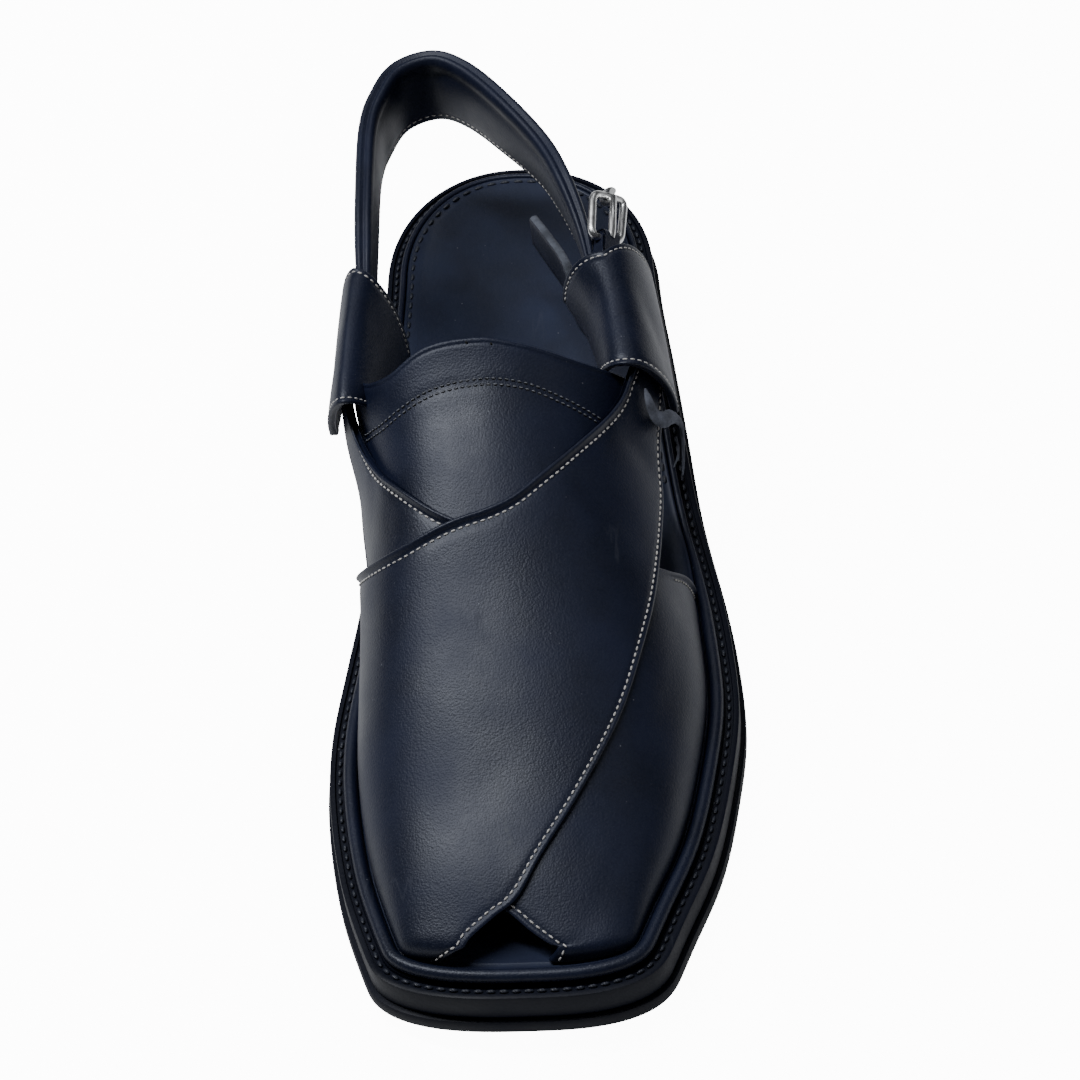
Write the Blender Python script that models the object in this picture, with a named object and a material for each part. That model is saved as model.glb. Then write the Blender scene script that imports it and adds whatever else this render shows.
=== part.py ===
"""Peshawari chappal, left shoe: a heel-strap sandal whose two wide leather panels cross over the instep.
Metres. +Z is up, the toe points to -Y and the outer (lateral) side of the foot is +X. The origin is on the floor
under the middle of the heel seat. Lengths along the shoe are counted from the back of the heel."""
from math import cos, hypot, pi, sin

import bmesh
import bpy
from mathutils import Vector

# Overall sizes
LENGTH = 0.2985
BALL_WIDTH = 0.110
INSTEP_HEIGHT = 0.083
HEEL_CENTRE = 0.0375

# Sole sizes
HEEL_HEIGHT = 0.012
HEEL_INSET = 0.0012
TOE_SPRING = 0.0055
OUTSOLE_THICKNESS = 0.0045
MIDSOLE_THICKNESS = 0.0082
INSOLE_THICKNESS = 0.0016
EDGE_ROUND = 0.0006
FLARE = 0.0014
LEDGE = 0.0017
GROOVE_WIDTH = 0.0020
GROOVE_DEPTH = 0.0008
BEAD_RADIUS = 0.0018
RIDGE_RADIUS = 0.0009
GAP = 0.0003

# Ends of the outline, rounded as parts of superellipses
HEEL_ROUND = 0.046
HEEL_SQUARENESS = 2.1
TOE_ROUND = 0.016
TOE_SQUARENESS = 2.8
UPPER_SQUARENESS = 2.1
CREST_SQUARENESS = 2.0
TOE_SLANT = 0.05
SLANT_START = 0.8518

# Where the sole's profile changes, as shares of the length
BREAST = 0.2687
ARCH_END = 0.5157
SPRING_START = 0.7727
BEAD_THIN = 0.4861
BEAD_FULL = 0.6245
BULGE_END = 0.7233
BULGE_RUN = 0.2

# Steps for slopes and normals, as shares
FINE = 0.004

# Leather
PANEL_THICKNESS = 0.0020
OVERLAY_STEP = 0.0016
TONGUE_THICKNESS = 0.0018
KEEPER_THICKNESS = 0.0022
SIDE_BULGE = 0.006
BULGE_RISE = 0.35
DRAPE_SHARE = 0.15

# Heel strap and its fastening
STRAP_THICKNESS = 0.0046
STRAP_RIM_RADIUS = 0.0025
STRAP_EDGE_ROUND = 0.3
STRAP_EDGE_WIDTH = 0.5
RIM_NECK = 2.1
TAIL_THICKNESS = 0.0026
TAB_THICKNESS = 0.0012
TAB_LENGTH = 0.010
TAB_WIDTH_SHARE = 0.5
BUCKLE_WIRE = 0.0011
BUCKLE_CORNER_SHARE = 0.18
BUCKLE_CORNER_FULLNESS = 0.5
PRONG_WIRE = 0.0008
PRONG_OVERHANG = 0.0006

# Facets
SHARP_ANGLE = pi / 6
HEEL_STEPS = 7
SIDE_STEPS = 14
TOE_STEPS = 6
BEAD_SIDES = 8
PANEL_STEPS = (30, 14)
TONGUE_STEPS = (16, 6)
KEEPER_STEPS = (8, 5, 7)
STRAP_STEPS = 34
TAIL_STEPS = 8
TAB_TURN_STEPS = 6

# Sole outline. Columns: along (share of length), medial and lateral half width (shares of ball width)
OUTLINE = (
    (0.00, 0.332, 0.382),
    (0.1698, 0.341, 0.391),
    (0.2687, 0.355, 0.414),
    (0.3576, 0.368, 0.436),
    (0.4466, 0.382, 0.459),
    (0.5454, 0.409, 0.500),
    (0.6146, 0.438, 0.520),
    (0.6936, 0.468, 0.526),
    (0.7628, 0.470, 0.500),
    (0.8518, 0.440, 0.444),
    (0.9259, 0.390, 0.362),
    (1.00, 0.326, 0.284),
)

# Outer surface of the upper. Columns: along (share of length), crest height over the footbed (share of instep
# height), crest x, medial spread and lateral spread past the feather line (shares of ball width), and the
# fullness of the medial and lateral quarter of each section
LAST = (
    (0.2687, 1.22, -0.060, 0.090, 0.055, 3.0, 2.1),
    (0.3576, 1.04, -0.064, 0.090, 0.062, 3.0, 2.1),
    (0.4466, 0.84, -0.066, 0.058, 0.055, 3.0, 2.1),
    (0.5059, 0.75, -0.066, 0.012, 0.015, 2.9, 2.1),
    (0.5553, 0.68, -0.066, 0.000, 0.000, 2.7, 2.1),
    (0.6047, 0.605, -0.064, 0.000, 0.000, 2.6, 2.1),
    (0.6739, 0.500, -0.058, 0.000, 0.000, 2.5, 2.15),
    (0.7529, 0.395, -0.050, 0.000, 0.000, 2.4, 2.2),
    (0.832, 0.285, -0.046, 0.000, 0.000, 2.35, 2.3),
    (0.9012, 0.190, -0.044, 0.000, 0.000, 2.4, 2.4),
    (0.9456, 0.110, -0.044, 0.000, 0.000, 2.5, 2.5),
    (0.9852, 0.030, -0.044, 0.000, 0.000, 2.8, 2.8),
)

# Edges of the two panels and the tongue on that surface. Columns: along (share of length), around (0 at the
# lateral bead, 1 at the medial one). Anchor edges run from the rear to the toe, the others away from the anchor
OVER_ANCHOR = ((0.5405, 1.0), (0.6442, 1.0), (0.7529, 1.0), (0.8616, 1.0), (0.9308, 1.0), (0.9612, 1.0))
OVER_REAR = (
    (0.5405, 1.00),
    (0.5829, 0.89),
    (0.6077, 0.78),
    (0.6165, 0.66),
    (0.6077, 0.54),
    (0.5928, 0.458),
    (0.5652, 0.396),
    (0.5355, 0.342),
    (0.4999, 0.287),
    (0.4742, 0.258),
    (0.4466, 0.238),
    (0.412, 0.205),
)
OVER_FRONT = (
    (0.9612, 1.00),
    (0.9615, 0.77),
    (0.9565, 0.604),
    (0.9308, 0.492),
    (0.8893, 0.433),
    (0.8379, 0.367),
    (0.7687, 0.292),
    (0.6976, 0.246),
    (0.6205, 0.192),
    (0.5405, 0.152),
    (0.4762, 0.160),
    (0.4268, 0.152),
)
UNDER_ANCHOR = ((0.5602, 0.0), (0.6541, 0.0), (0.7529, 0.0), (0.8616, 0.0), (0.9308, 0.0), (0.9652, 0.0))
UNDER_REAR = (
    (0.5602, 0.00),
    (0.579, 0.071),
    (0.6067, 0.163),
    (0.6264, 0.29),
    (0.6245, 0.42),
    (0.6047, 0.529),
    (0.577, 0.625),
    (0.5316, 0.745),
    (0.493, 0.806),
    (0.4564, 0.828),
    (0.416, 0.841),
)
UNDER_FRONT = (
    (0.9652, 0.00),
    (0.9634, 0.26),
    (0.9565, 0.415),
    (0.9348, 0.492),
    (0.8863, 0.575),
    (0.8221, 0.655),
    (0.743, 0.725),
    (0.6541, 0.800),
    (0.5652, 0.880),
    (0.4861, 0.905),
    (0.4268, 0.890),
)
TONGUE_TOP = (
    (0.4400, 0.20),
    (0.4560, 0.313),
    (0.4560, 0.416),
    (0.4530, 0.484),
    (0.4560, 0.560),
    (0.4640, 0.660),
    (0.4630, 0.760),
    (0.4590, 0.855),
)
TONGUE_FRONT = ((0.6442, 0.27), (0.6541, 0.38), (0.659, 0.50), (0.6541, 0.66), (0.6100, 0.820))

# Folded keepers at the ankle, rear to front. Each row holds the inner hem, the ridge of the fold and the outer
# hem, each as along (share of length), x (share of ball width), z (share of instep height)
LATERAL_KEEPER = (
    ((0.3201, 0.150, 0.690), (0.323, 0.267, 0.916), (0.2835, 0.380, 0.600)),
    ((0.3626, 0.205, 0.665), (0.3774, 0.287, 0.885), (0.3527, 0.402, 0.560)),
    ((0.4300, 0.240, 0.720), (0.4530, 0.304, 0.850), (0.4400, 0.422, 0.560)),
)
MEDIAL_KEEPER = (
    ((0.3349, -0.236, 0.545), (0.3191, -0.339, 0.916), (0.3082, -0.405, 0.560)),
    ((0.3823, -0.262, 0.560), (0.3880, -0.358, 0.888), (0.3774, -0.420, 0.545)),
    ((0.4367, -0.300, 0.620), (0.4720, -0.372, 0.842), (0.4350, -0.436, 0.560)),
)

# Heel strap from the medial keeper round the heel to the lateral one. Columns: along (share of length), x (share
# of ball width), top and bottom z (shares of instep height), fullness (share of the strap's thickness)
HEEL_STRAP = (
    (0.3527, -0.338, 0.775, 0.620, 0.60),
    (0.3181, -0.334, 0.815, 0.630, 0.75),
    (0.2786, -0.331, 0.880, 0.640, 0.95),
    (0.2252, -0.328, 0.930, 0.652, 1.00),
    (0.1353, -0.321, 0.960, 0.668, 1.00),
    (0.0950, -0.291, 0.985, 0.688, 1.00),
    (0.0650, -0.241, 1.000, 0.708, 1.00),
    (0.0555, -0.150, 1.008, 0.720, 1.00),
    (0.0745, -0.069, 1.008, 0.725, 1.00),
    (0.1205, 0.026, 1.000, 0.733, 1.00),
    (0.1775, 0.123, 0.975, 0.752, 1.00),
    (0.2255, 0.175, 0.950, 0.762, 0.95),
    (0.2707, 0.212, 0.890, 0.762, 0.80),
    (0.3120, 0.230, 0.845, 0.745, 0.55),
    (0.3450, 0.243, 0.815, 0.735, 0.45),
)

# Roll along the heel strap's top edge. Columns: sideways, down from the top (shares of the roll's radius)
RIM_PROFILE = (
    (-0.85, 1.7),
    (-1.0, 1.0),
    (-0.7, 0.3),
    (0.0, 0.0),
    (0.7, 0.3),
    (1.0, 1.0),
    (0.85, 1.7),
)

# Free tail of the strap, doubled back inside the lateral keeper. The same columns
STRAP_TAIL = (
    (0.3450, 0.220, 0.705, 0.590, 1.00),
    (0.3250, 0.200, 0.690, 0.570, 1.00),
    (0.3082, 0.188, 0.685, 0.555, 1.00),
    (0.2657, 0.162, 0.700, 0.555, 1.00),
    (0.2291, 0.122, 0.695, 0.550, 1.00),
    (0.1995, 0.085, 0.690, 0.560, 1.00),
)

# Corners of the buckle's frame: rear upper, front upper, front lower, rear lower, as along (share of length),
# x (share of ball width), z (share of instep height)
BUCKLE_CORNERS = (
    (0.2520, 0.248, 0.938),
    (0.2970, 0.252, 0.895),
    (0.2800, 0.310, 0.797),
    (0.2330, 0.322, 0.832),
)


def read(table, column, at):
    """Reads one column of a table at a place along it, on a smooth curve through its rows."""
    if at <= table[0][0]:
        return table[0][column]
    if at >= table[-1][0]:
        return table[-1][column]
    index = next(i for i in range(len(table) - 1) if at <= table[i + 1][0])
    low, high = table[index], table[index + 1]

    def slope(row):
        before, after = table[max(row - 1, 0)], table[min(row + 1, len(table) - 1)]
        return (after[column] - before[column]) / (after[0] - before[0])

    step = high[0] - low[0]
    return hermite(low[column], high[column], slope(index) * step, slope(index + 1) * step, (at - low[0]) / step)


def hermite(start, end, start_slope, end_slope, t):
    """A cubic between two values with given slopes."""
    return (
        (2 * t ** 3 - 3 * t ** 2 + 1) * start + (t ** 3 - 2 * t ** 2 + t) * start_slope
        + (3 * t ** 2 - 2 * t ** 3) * end + (t ** 3 - t ** 2) * end_slope
    )


def ease(t):
    """A smooth step from 0 to 1."""
    t = min(max(t, 0.0), 1.0)
    return t * t * (3 - 2 * t)


def curve_through(rows, count):
    """Points spaced evenly by row along a smooth curve through a table's rows."""
    points = [Vector(row) for row in rows]
    result = []
    for step in range(count + 1):
        place = step / count * (len(points) - 1)
        index = min(int(place), len(points) - 2)
        here, there = points[index], points[index + 1]
        before, after = points[max(index - 1, 0)], points[min(index + 2, len(points) - 1)]
        result.append(Vector([
            hermite(here[k], there[k], (there[k] - before[k]) / 2, (after[k] - here[k]) / 2, place - index)
            for k in range(len(here))
        ]))
    return result


def bottom_z(along):
    """Underside of the outsole: level at the heel, down through the arch, flat at the ball, up at the toe."""
    share = along / LENGTH
    drop = HEEL_HEIGHT * (1 - ease((share - BREAST) / (ARCH_END - BREAST)))
    rise = TOE_SPRING * max((share - SPRING_START) / (1 - SPRING_START), 0) ** 2
    return drop + rise


def outsole_top(along):
    return bottom_z(along) + OUTSOLE_THICKNESS


def midsole_top(along):
    return outsole_top(along) + GAP + MIDSOLE_THICKNESS


def footbed_top(along):
    return midsole_top(along) + GAP + INSOLE_THICKNESS


def bead_radius(along):
    """The bead is full at the forefoot and a thin ridge round the heel."""
    grown = ease((along / LENGTH - BEAD_THIN) / (BEAD_FULL - BEAD_THIN))
    return RIDGE_RADIUS + (BEAD_RADIUS - RIDGE_RADIUS) * grown


def bead_inset(along):
    return FLARE + LEDGE + GROOVE_WIDTH + GAP + bead_radius(along)


def feather_inset(along):
    """From the outline in to the line where footbed and upper meet the bead."""
    return bead_inset(along) + bead_radius(along) + GAP


def corner_share(place, start, length, squareness):
    """How much of the half width is left at a place inside a rounded end."""
    t = min(max((place - start) / length, 0.0), 1.0)
    return (1 - t ** squareness) ** (1 / squareness)


def half_outline(column):
    """One side of the outline from the back of the heel to the toe, as points with even facets."""
    points = []
    for step in range(HEEL_STEPS):
        angle = pi / 2 * (1 - step / HEEL_STEPS)
        run, share = sin(angle) ** (2 / HEEL_SQUARENESS), cos(angle) ** (2 / HEEL_SQUARENESS)
        points.append((HEEL_ROUND * (1 - run), share))
    straight = LENGTH - HEEL_ROUND - TOE_ROUND
    points += [(HEEL_ROUND + straight * step / SIDE_STEPS, 1.0) for step in range(SIDE_STEPS)]
    for step in range(TOE_STEPS + 1):
        angle = pi / 2 * step / TOE_STEPS
        run, share = sin(angle) ** (2 / TOE_SQUARENESS), max(cos(angle), 0.0) ** (2 / TOE_SQUARENESS)
        points.append((LENGTH - TOE_ROUND * (1 - run), share))
    side = -1 if column == 1 else 1
    placed = []
    for along, share in points:
        x = side * share * read(OUTLINE, column, along / LENGTH) * BALL_WIDTH
        placed.append(Vector((x, HEEL_CENTRE - along - toe_slant(along, x))))
    placed[0].x = placed[-1].x = 0.0
    return placed


def toe_slant(along, x):
    """The square toe runs a little further forward on its lateral side."""
    return TOE_SLANT * x * ease((along / LENGTH - SLANT_START) / (1 - SLANT_START))


def inset_side(column, inset):
    """One side of the outline moved in by an inset, a length or a function of the place along the shoe."""
    points, others = half_outline(column), half_outline(3 - column)
    turn = 1 if column == 1 else -1
    moved = []
    for index, point in enumerate(points):
        before = points[index - 1] if index else others[1]
        after = points[index + 1] if index + 1 < len(points) else others[-2]
        run = (after - before).normalized()
        move = inset(HEEL_CENTRE - point.y) if callable(inset) else inset
        moved.append(point + turn * move * Vector((-run.y, run.x)))
    return moved


def ring(inset, height, count=None):
    """The outline as a closed ring: the medial side from heel to toe, then the lateral side back. A count keeps
    only so many points of each side, counted from the heel."""
    medial, lateral = inset_side(1, inset), inset_side(2, inset)
    flat = medial[:count] + lateral[1:count][::-1] if count else medial + lateral[-2:0:-1]
    return [Vector((spot.x, spot.y, height(HEEL_CENTRE - spot.y))) for spot in flat]


def material(name, colour, roughness, metallic=0.0):
    made = bpy.data.materials.new(name)
    made.use_nodes = True
    shader = made.node_tree.nodes["Principled BSDF"]
    shader.inputs["Base Color"].default_value = (*colour, 1.0)
    shader.inputs["Roughness"].default_value = roughness
    shader.inputs["Metallic"].default_value = metallic
    return made


def finish_object(name, mesh_data, made_of):
    """Turns a bmesh into a named object with outward faces."""
    bmesh.ops.recalc_face_normals(mesh_data, faces=mesh_data.faces)
    mesh = bpy.data.meshes.new(name)
    mesh_data.to_mesh(mesh)
    mesh_data.free()
    mesh.materials.append(made_of)
    mesh.shade_smooth()
    mesh.set_sharp_from_angle(angle=SHARP_ANGLE)
    made = bpy.data.objects.new(name, mesh)
    parts.objects.link(made)
    return made


def bridge(work, first, second, closed=True):
    """Quads between two rows of vertices."""
    count = len(first)
    for index in range(count if closed else count - 1):
        after = (index + 1) % count
        work.faces.new((first[index], first[after], second[after], second[index]))


def cap(work, loop):
    """Closes a ring made by ring() with strips from its medial to its lateral side."""
    count = len(loop)
    work.faces.new((loop[0], loop[1], loop[-1]))
    for index in range(1, (count - 1) // 2):
        work.faces.new((loop[index], loop[index + 1], loop[count - index - 1], loop[count - index]))
    if count % 2 == 0:
        middle = count // 2
        work.faces.new((loop[middle - 1], loop[middle], loop[middle + 1]))


def layer(name, rings, made_of):
    """A flat layer of the sole, lofted through rings from its underside to its top."""
    work = bmesh.new()
    loops = [[work.verts.new(point) for point in one] for one in rings]
    for lower, upper in zip(loops, loops[1:]):
        bridge(work, lower, upper)
    cap(work, loops[0])
    cap(work, loops[-1])
    return finish_object(name, work, made_of)


def swept(name, sections, made_of, closed=False):
    """A solid lofted through closed sections, with its ends capped unless it closes on itself."""
    work = bmesh.new()
    loops = [[work.verts.new(point) for point in one] for one in sections]
    for lower, upper in zip(loops, loops[1:]):
        bridge(work, lower, upper)
    if closed:
        bridge(work, loops[-1], loops[0])
    else:
        work.faces.new(loops[0])
        work.faces.new(loops[-1])
    return finish_object(name, work, made_of)


def outline_width(along_share, column):
    return read(OUTLINE, column, along_share) * BALL_WIDTH


def reach(along_share, column):
    """Half width of the upper at its base: it follows the bead, and spreads past it behind the anchored part."""
    along = along_share * LENGTH
    widening = outline_width(along_share + FINE, column) - outline_width(along_share - FINE, column)
    inset = (feather_inset(along) + GAP) * hypot(1, widening / (2 * FINE * LENGTH))
    spread = read(LAST, 2 + column, along_share) * BALL_WIDTH
    corner = corner_share(along, LENGTH - TOE_ROUND, TOE_ROUND - inset, UPPER_SQUARENESS)
    return (outline_width(along_share, column) + spread - inset) * corner


def last_point(along_share, around):
    """A point of the upper's outer surface."""
    along = along_share * LENGTH
    across, up = cos(pi * around), max(sin(pi * around), 0.0)
    lateral = across > 0
    side = 1 if lateral else -1
    fullness = read(LAST, 6 if lateral else 5, along_share)
    width = reach(along_share, 2 if lateral else 1)
    crest_x = read(LAST, 2, along_share) * BALL_WIDTH
    crest_x *= corner_share(along, LENGTH - TOE_ROUND, TOE_ROUND, CREST_SQUARENESS)
    bulge = 0.0
    if not lateral:
        bulge = SIDE_BULGE * ease((BULGE_END - along_share) / BULGE_RUN) * ease(up / BULGE_RISE) * -across
    x = crest_x + side * ((width - side * crest_x) * abs(across) ** (2 / fullness) + bulge)
    height = read(LAST, 1, along_share) * INSTEP_HEIGHT * up ** (2 / fullness)
    return Vector((x, HEEL_CENTRE - along - toe_slant(along, x), footbed_top(along) + GAP + height))


def last_normal(along_share, around):
    """The outward normal of the upper's outer surface."""
    around = min(max(around, FINE), 1 - FINE)
    forward = last_point(along_share + FINE, around) - last_point(along_share - FINE, around)
    across = last_point(along_share, around + FINE) - last_point(along_share, around - FINE)
    return across.cross(forward).normalized()


def patch(rear, front, anchor, end, steps):
    """Places on the last inside four edges: rear and front run away from the anchor, which joins their starts."""
    long_steps, wide_steps = steps
    rear, front = curve_through(rear, long_steps), curve_through(front, long_steps)
    anchor, end = curve_through(anchor, wide_steps), curve_through(end, wide_steps)
    rows = []
    for i in range(long_steps + 1):
        u = i / long_steps
        row = []
        for j in range(wide_steps + 1):
            v = j / wide_steps
            place = rear[i].lerp(front[i], v) + anchor[j].lerp(end[j], u)
            place -= anchor[0].lerp(anchor[-1], v).lerp(end[0].lerp(end[-1], v), u)
            row.append((place.x, place.y, u))
        rows.append(row)
    return rows


def sheet(name, rows, drop, thickness, made_of):
    """A leather sheet on the last, its outer face sunk drop(u) below the upper's outer surface."""
    work = bmesh.new()
    grids = []
    for depth in (0.0, thickness):
        grid = []
        for row in rows:
            grid.append([])
            for along_share, around, u in row:
                spot = last_point(along_share, around) - last_normal(along_share, around) * (drop(u) + depth)
                spot.z = max(spot.z, footbed_top(HEEL_CENTRE - spot.y) + GAP)
                grid[-1].append(work.verts.new(spot))
        grids.append(grid)
    for grid in grids:
        for first, second in zip(grid, grid[1:]):
            bridge(work, first, second, closed=False)
    outer, inner = grids
    for row in (0, -1):
        bridge(work, outer[row], inner[row], closed=False)
    for column in (0, -1):
        bridge(work, [row[column] for row in outer], [row[column] for row in inner], closed=False)
    return finish_object(name, work, made_of)


def joined(first, second):
    """Two overlapping solids as one, under the first one's name."""
    union = first.modifiers.new("union", "BOOLEAN")
    union.operation = "UNION"
    union.solver = "EXACT"
    union.object = second
    second.hide_render = True
    second.display_type = "WIRE"
    parts.objects.unlink(second)
    cutters.objects.link(second)
    return first


def to_world(along_share, x_share, z_share):
    """A place given in shares of the shoe's sizes."""
    return Vector((x_share * BALL_WIDTH, HEEL_CENTRE - along_share * LENGTH, z_share * INSTEP_HEIGHT))


def band(name, rows, count, thickness, rim, made_of):
    """An upright strap that runs along a table of rows. A rim is the radius of a roll along its top edge."""
    path = curve_through(rows, count)
    sections = []
    for index, (along, x, top, bottom, fullness) in enumerate(path):
        before, after = path[max(index - 1, 0)], path[min(index + 1, count)]
        run = (to_world(after[0], after[1], 0) - to_world(before[0], before[1], 0)).normalized()
        sideways = Vector((run.y, -run.x, 0))
        side = sideways * thickness / 2 * fullness
        low, high = to_world(along, x, bottom), to_world(along, x, top)
        edge, tip = Vector((0, 0, thickness * STRAP_EDGE_ROUND * fullness)), side * STRAP_EDGE_WIDTH
        lower_edge = [low + edge + side, low + tip, low - tip, low + edge - side]
        upper_edge = [high - edge - side, high - tip, high + tip, high - edge + side]
        if rim:
            radius = rim * fullness
            neck = high - Vector((0, 0, radius * RIM_NECK))
            roll = [high + sideways * radius * out - Vector((0, 0, radius * down)) for out, down in RIM_PROFILE]
            upper_edge = [neck - side] + roll + [neck + side]
        sections.append(lower_edge + upper_edge)
    return swept(name, sections, made_of)


def keeper(name, rows, made_of):
    """A sheet folded over the ankle end of a panel: each leg is a quarter ellipse from the ridge to its hem."""
    run_steps, inner_steps, outer_steps = KEEPER_STEPS
    side = 1 if rows[0][1][1] > 0 else -1
    sections = []
    for row in curve_through([sum(row, ()) for row in rows], run_steps):
        inner_hem, ridge, outer_hem = to_world(*row[:3]), to_world(*row[3:6]), to_world(*row[6:])
        legs = []
        for hem, steps in ((inner_hem, inner_steps), (outer_hem, outer_steps)):
            reached = hem - ridge
            legs.append([
                ridge + Vector((reached.x * sin(angle), reached.y * sin(angle), reached.z * (1 - cos(angle))))
                for angle in (pi / 2 * step / steps for step in range(steps + 1))
            ])
        outside = legs[0][::-1] + legs[1][1:]
        inside = []
        for index, spot in enumerate(outside):
            run = outside[min(index + 1, len(outside) - 1)] - outside[max(index - 1, 0)]
            inside.append(spot - side * Vector((-run.z, 0, run.x)).normalized() * KEEPER_THICKNESS)
        sections.append(outside + inside[::-1])
    return swept(name, sections, made_of)


def wire(name, points, radius, made_of, cyclic=False):
    """A round wire through its points."""
    curve = bpy.data.curves.new(name, "CURVE")
    curve.dimensions = "3D"
    curve.bevel_depth = radius
    curve.bevel_resolution = 2
    curve.use_fill_caps = True
    line = curve.splines.new("POLY")
    line.points.add(len(points) - 1)
    for slot, spot in zip(line.points, points):
        slot.co = (*spot, 1.0)
    line.use_cyclic_u = cyclic
    curve.materials.append(made_of)
    made = bpy.data.objects.new(name, curve)
    parts.objects.link(made)
    return made


def sole():
    """Heel lift, outsole, midsole with its stitching groove, and footbed."""
    side_facet = (LENGTH - HEEL_ROUND - TOE_ROUND) / SIDE_STEPS
    heel_count = HEEL_STEPS + 1 + round((BREAST * LENGTH - HEEL_ROUND) / side_facet)
    layer("heel_lift", [
        ring(HEEL_INSET, lambda along: 0.0, heel_count),
        ring(HEEL_INSET, lambda along: HEEL_HEIGHT - GAP, heel_count),
    ], sole_rubber)
    layer("outsole", [
        ring(EDGE_ROUND, bottom_z),
        ring(0.0, lambda along: bottom_z(along) + EDGE_ROUND),
        ring(0.0, lambda along: outsole_top(along) - EDGE_ROUND),
        ring(EDGE_ROUND, outsole_top),
    ], sole_rubber)
    groove = FLARE + LEDGE
    layer("midsole", [
        ring(FLARE, lambda along: outsole_top(along) + GAP),
        ring(FLARE, lambda along: midsole_top(along) - EDGE_ROUND),
        ring(FLARE + EDGE_ROUND, midsole_top),
        ring(groove, midsole_top),
        ring(groove, lambda along: midsole_top(along) - GROOVE_DEPTH),
        ring(groove + GROOVE_WIDTH, lambda along: midsole_top(along) - GROOVE_DEPTH),
        ring(groove + GROOVE_WIDTH, midsole_top),
    ], sole_rubber)
    layer("footbed", [
        ring(feather_inset, lambda along: midsole_top(along) + GAP),
        ring(feather_inset, footbed_top),
    ], footbed_leather)


def welt_bead():
    """The leather piping laid in the corner between midsole and upper."""
    centres = ring(bead_inset, lambda along: midsole_top(along) + GAP + bead_radius(along))
    sections = []
    for index, centre in enumerate(centres):
        run = centres[(index + 1) % len(centres)] - centres[index - 1]
        inward = Vector((-run.y, run.x, 0)).normalized()
        radius = bead_radius(HEEL_CENTRE - centre.y)
        sections.append([
            centre + radius * (inward * cos(turn) + Vector((0, 0, 1)) * sin(turn))
            for turn in (2 * pi * step / BEAD_SIDES for step in range(BEAD_SIDES))
        ])
    swept("welt_bead", sections, navy_leather, closed=True)


def upper():
    """Both panels as one solid: the over panel lies a step higher where it crosses the under panel."""
    over = patch(OVER_REAR, OVER_FRONT, OVER_ANCHOR, (OVER_REAR[-1], OVER_FRONT[-1]), PANEL_STEPS)
    under = patch(UNDER_REAR, UNDER_FRONT, UNDER_ANCHOR, (UNDER_REAR[-1], UNDER_FRONT[-1]), PANEL_STEPS)
    over_panel = sheet("upper", over, lambda u: 0.0, PANEL_THICKNESS, navy_leather)
    under_panel = sheet(
        "under_panel", under, lambda u: OVERLAY_STEP * ease(u / DRAPE_SHARE), PANEL_THICKNESS, navy_leather,
    )
    joined(over_panel, under_panel)


def tongue():
    """The inner sheet that closes the opening above the crossing."""
    sides = ((TONGUE_TOP[0], TONGUE_FRONT[0]), (TONGUE_TOP[-1], TONGUE_FRONT[-1]))
    rows = patch(TONGUE_TOP, TONGUE_FRONT, *sides, TONGUE_STEPS)
    sheet("tongue", rows, lambda u: OVERLAY_STEP + PANEL_THICKNESS + GAP, TONGUE_THICKNESS, navy_leather)


def buckle():
    """A wire frame with its prong, held by a leather tab that loops round the frame's front bar."""
    rear_upper, front_upper, front_lower, rear_lower = [to_world(*corner) for corner in BUCKLE_CORNERS]
    corners = [rear_upper, front_upper, front_lower, rear_lower]
    rounded = []
    for index, corner in enumerate(corners):
        before, after = corners[index - 1], corners[(index + 1) % len(corners)]
        start, end = corner.lerp(before, BUCKLE_CORNER_SHARE), corner.lerp(after, BUCKLE_CORNER_SHARE)
        rounded += [start, (start + end) / 2 * (1 - BUCKLE_CORNER_FULLNESS) + corner * BUCKLE_CORNER_FULLNESS, end]
    wire("buckle_frame", rounded, BUCKLE_WIRE, steel, cyclic=True)
    front, rear = (front_upper + front_lower) / 2, (rear_upper + rear_lower) / 2
    forward = (front - rear).normalized()
    outward = (front_upper - front_lower).cross(forward).normalized()
    outward = outward if outward.x > 0 else -outward
    lift = outward * (BUCKLE_WIRE + PRONG_WIRE + GAP)
    root = front + lift - forward * (BUCKLE_WIRE + TAB_THICKNESS + 2 * GAP)
    wire("buckle_prong", [root, rear + lift - forward * PRONG_OVERHANG], PRONG_WIRE, steel)
    width = (front_upper - front_lower) * TAB_WIDTH_SHARE / 2
    loop = []
    for radius, order in ((BUCKLE_WIRE + GAP + TAB_THICKNESS, 1), (BUCKLE_WIRE + GAP, -1)):
        turns = [pi / 2 + pi * step / TAB_TURN_STEPS for step in range(TAB_TURN_STEPS + 1)]
        arc = [forward * cos(turn) * radius + outward * sin(turn) * radius for turn in turns]
        legs = [arc[0] + forward * TAB_LENGTH] + arc + [arc[-1] + forward * TAB_LENGTH]
        loop += legs[::order]
    ends = [[front + side + spot for spot in loop] for side in (width, -width)]
    swept("buckle_tab", ends, navy_leather)


for old in list(bpy.data.objects):
    bpy.data.objects.remove(old)
parts = bpy.data.collections.new("peshawari_chappal")
cutters = bpy.data.collections.new("cutters")
bpy.context.scene.collection.children.link(parts)
bpy.context.scene.collection.children.link(cutters)

navy_leather = material("navy_leather", (0.010, 0.015, 0.028), 0.45)
sole_rubber = material("sole_rubber", (0.008, 0.011, 0.019), 0.55)
footbed_leather = material("footbed_leather", (0.014, 0.020, 0.034), 0.5)
suede_grey = material("suede_grey", (0.08, 0.085, 0.10), 0.9)
steel = material("steel", (0.75, 0.75, 0.74), 0.22, 1.0)

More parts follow.
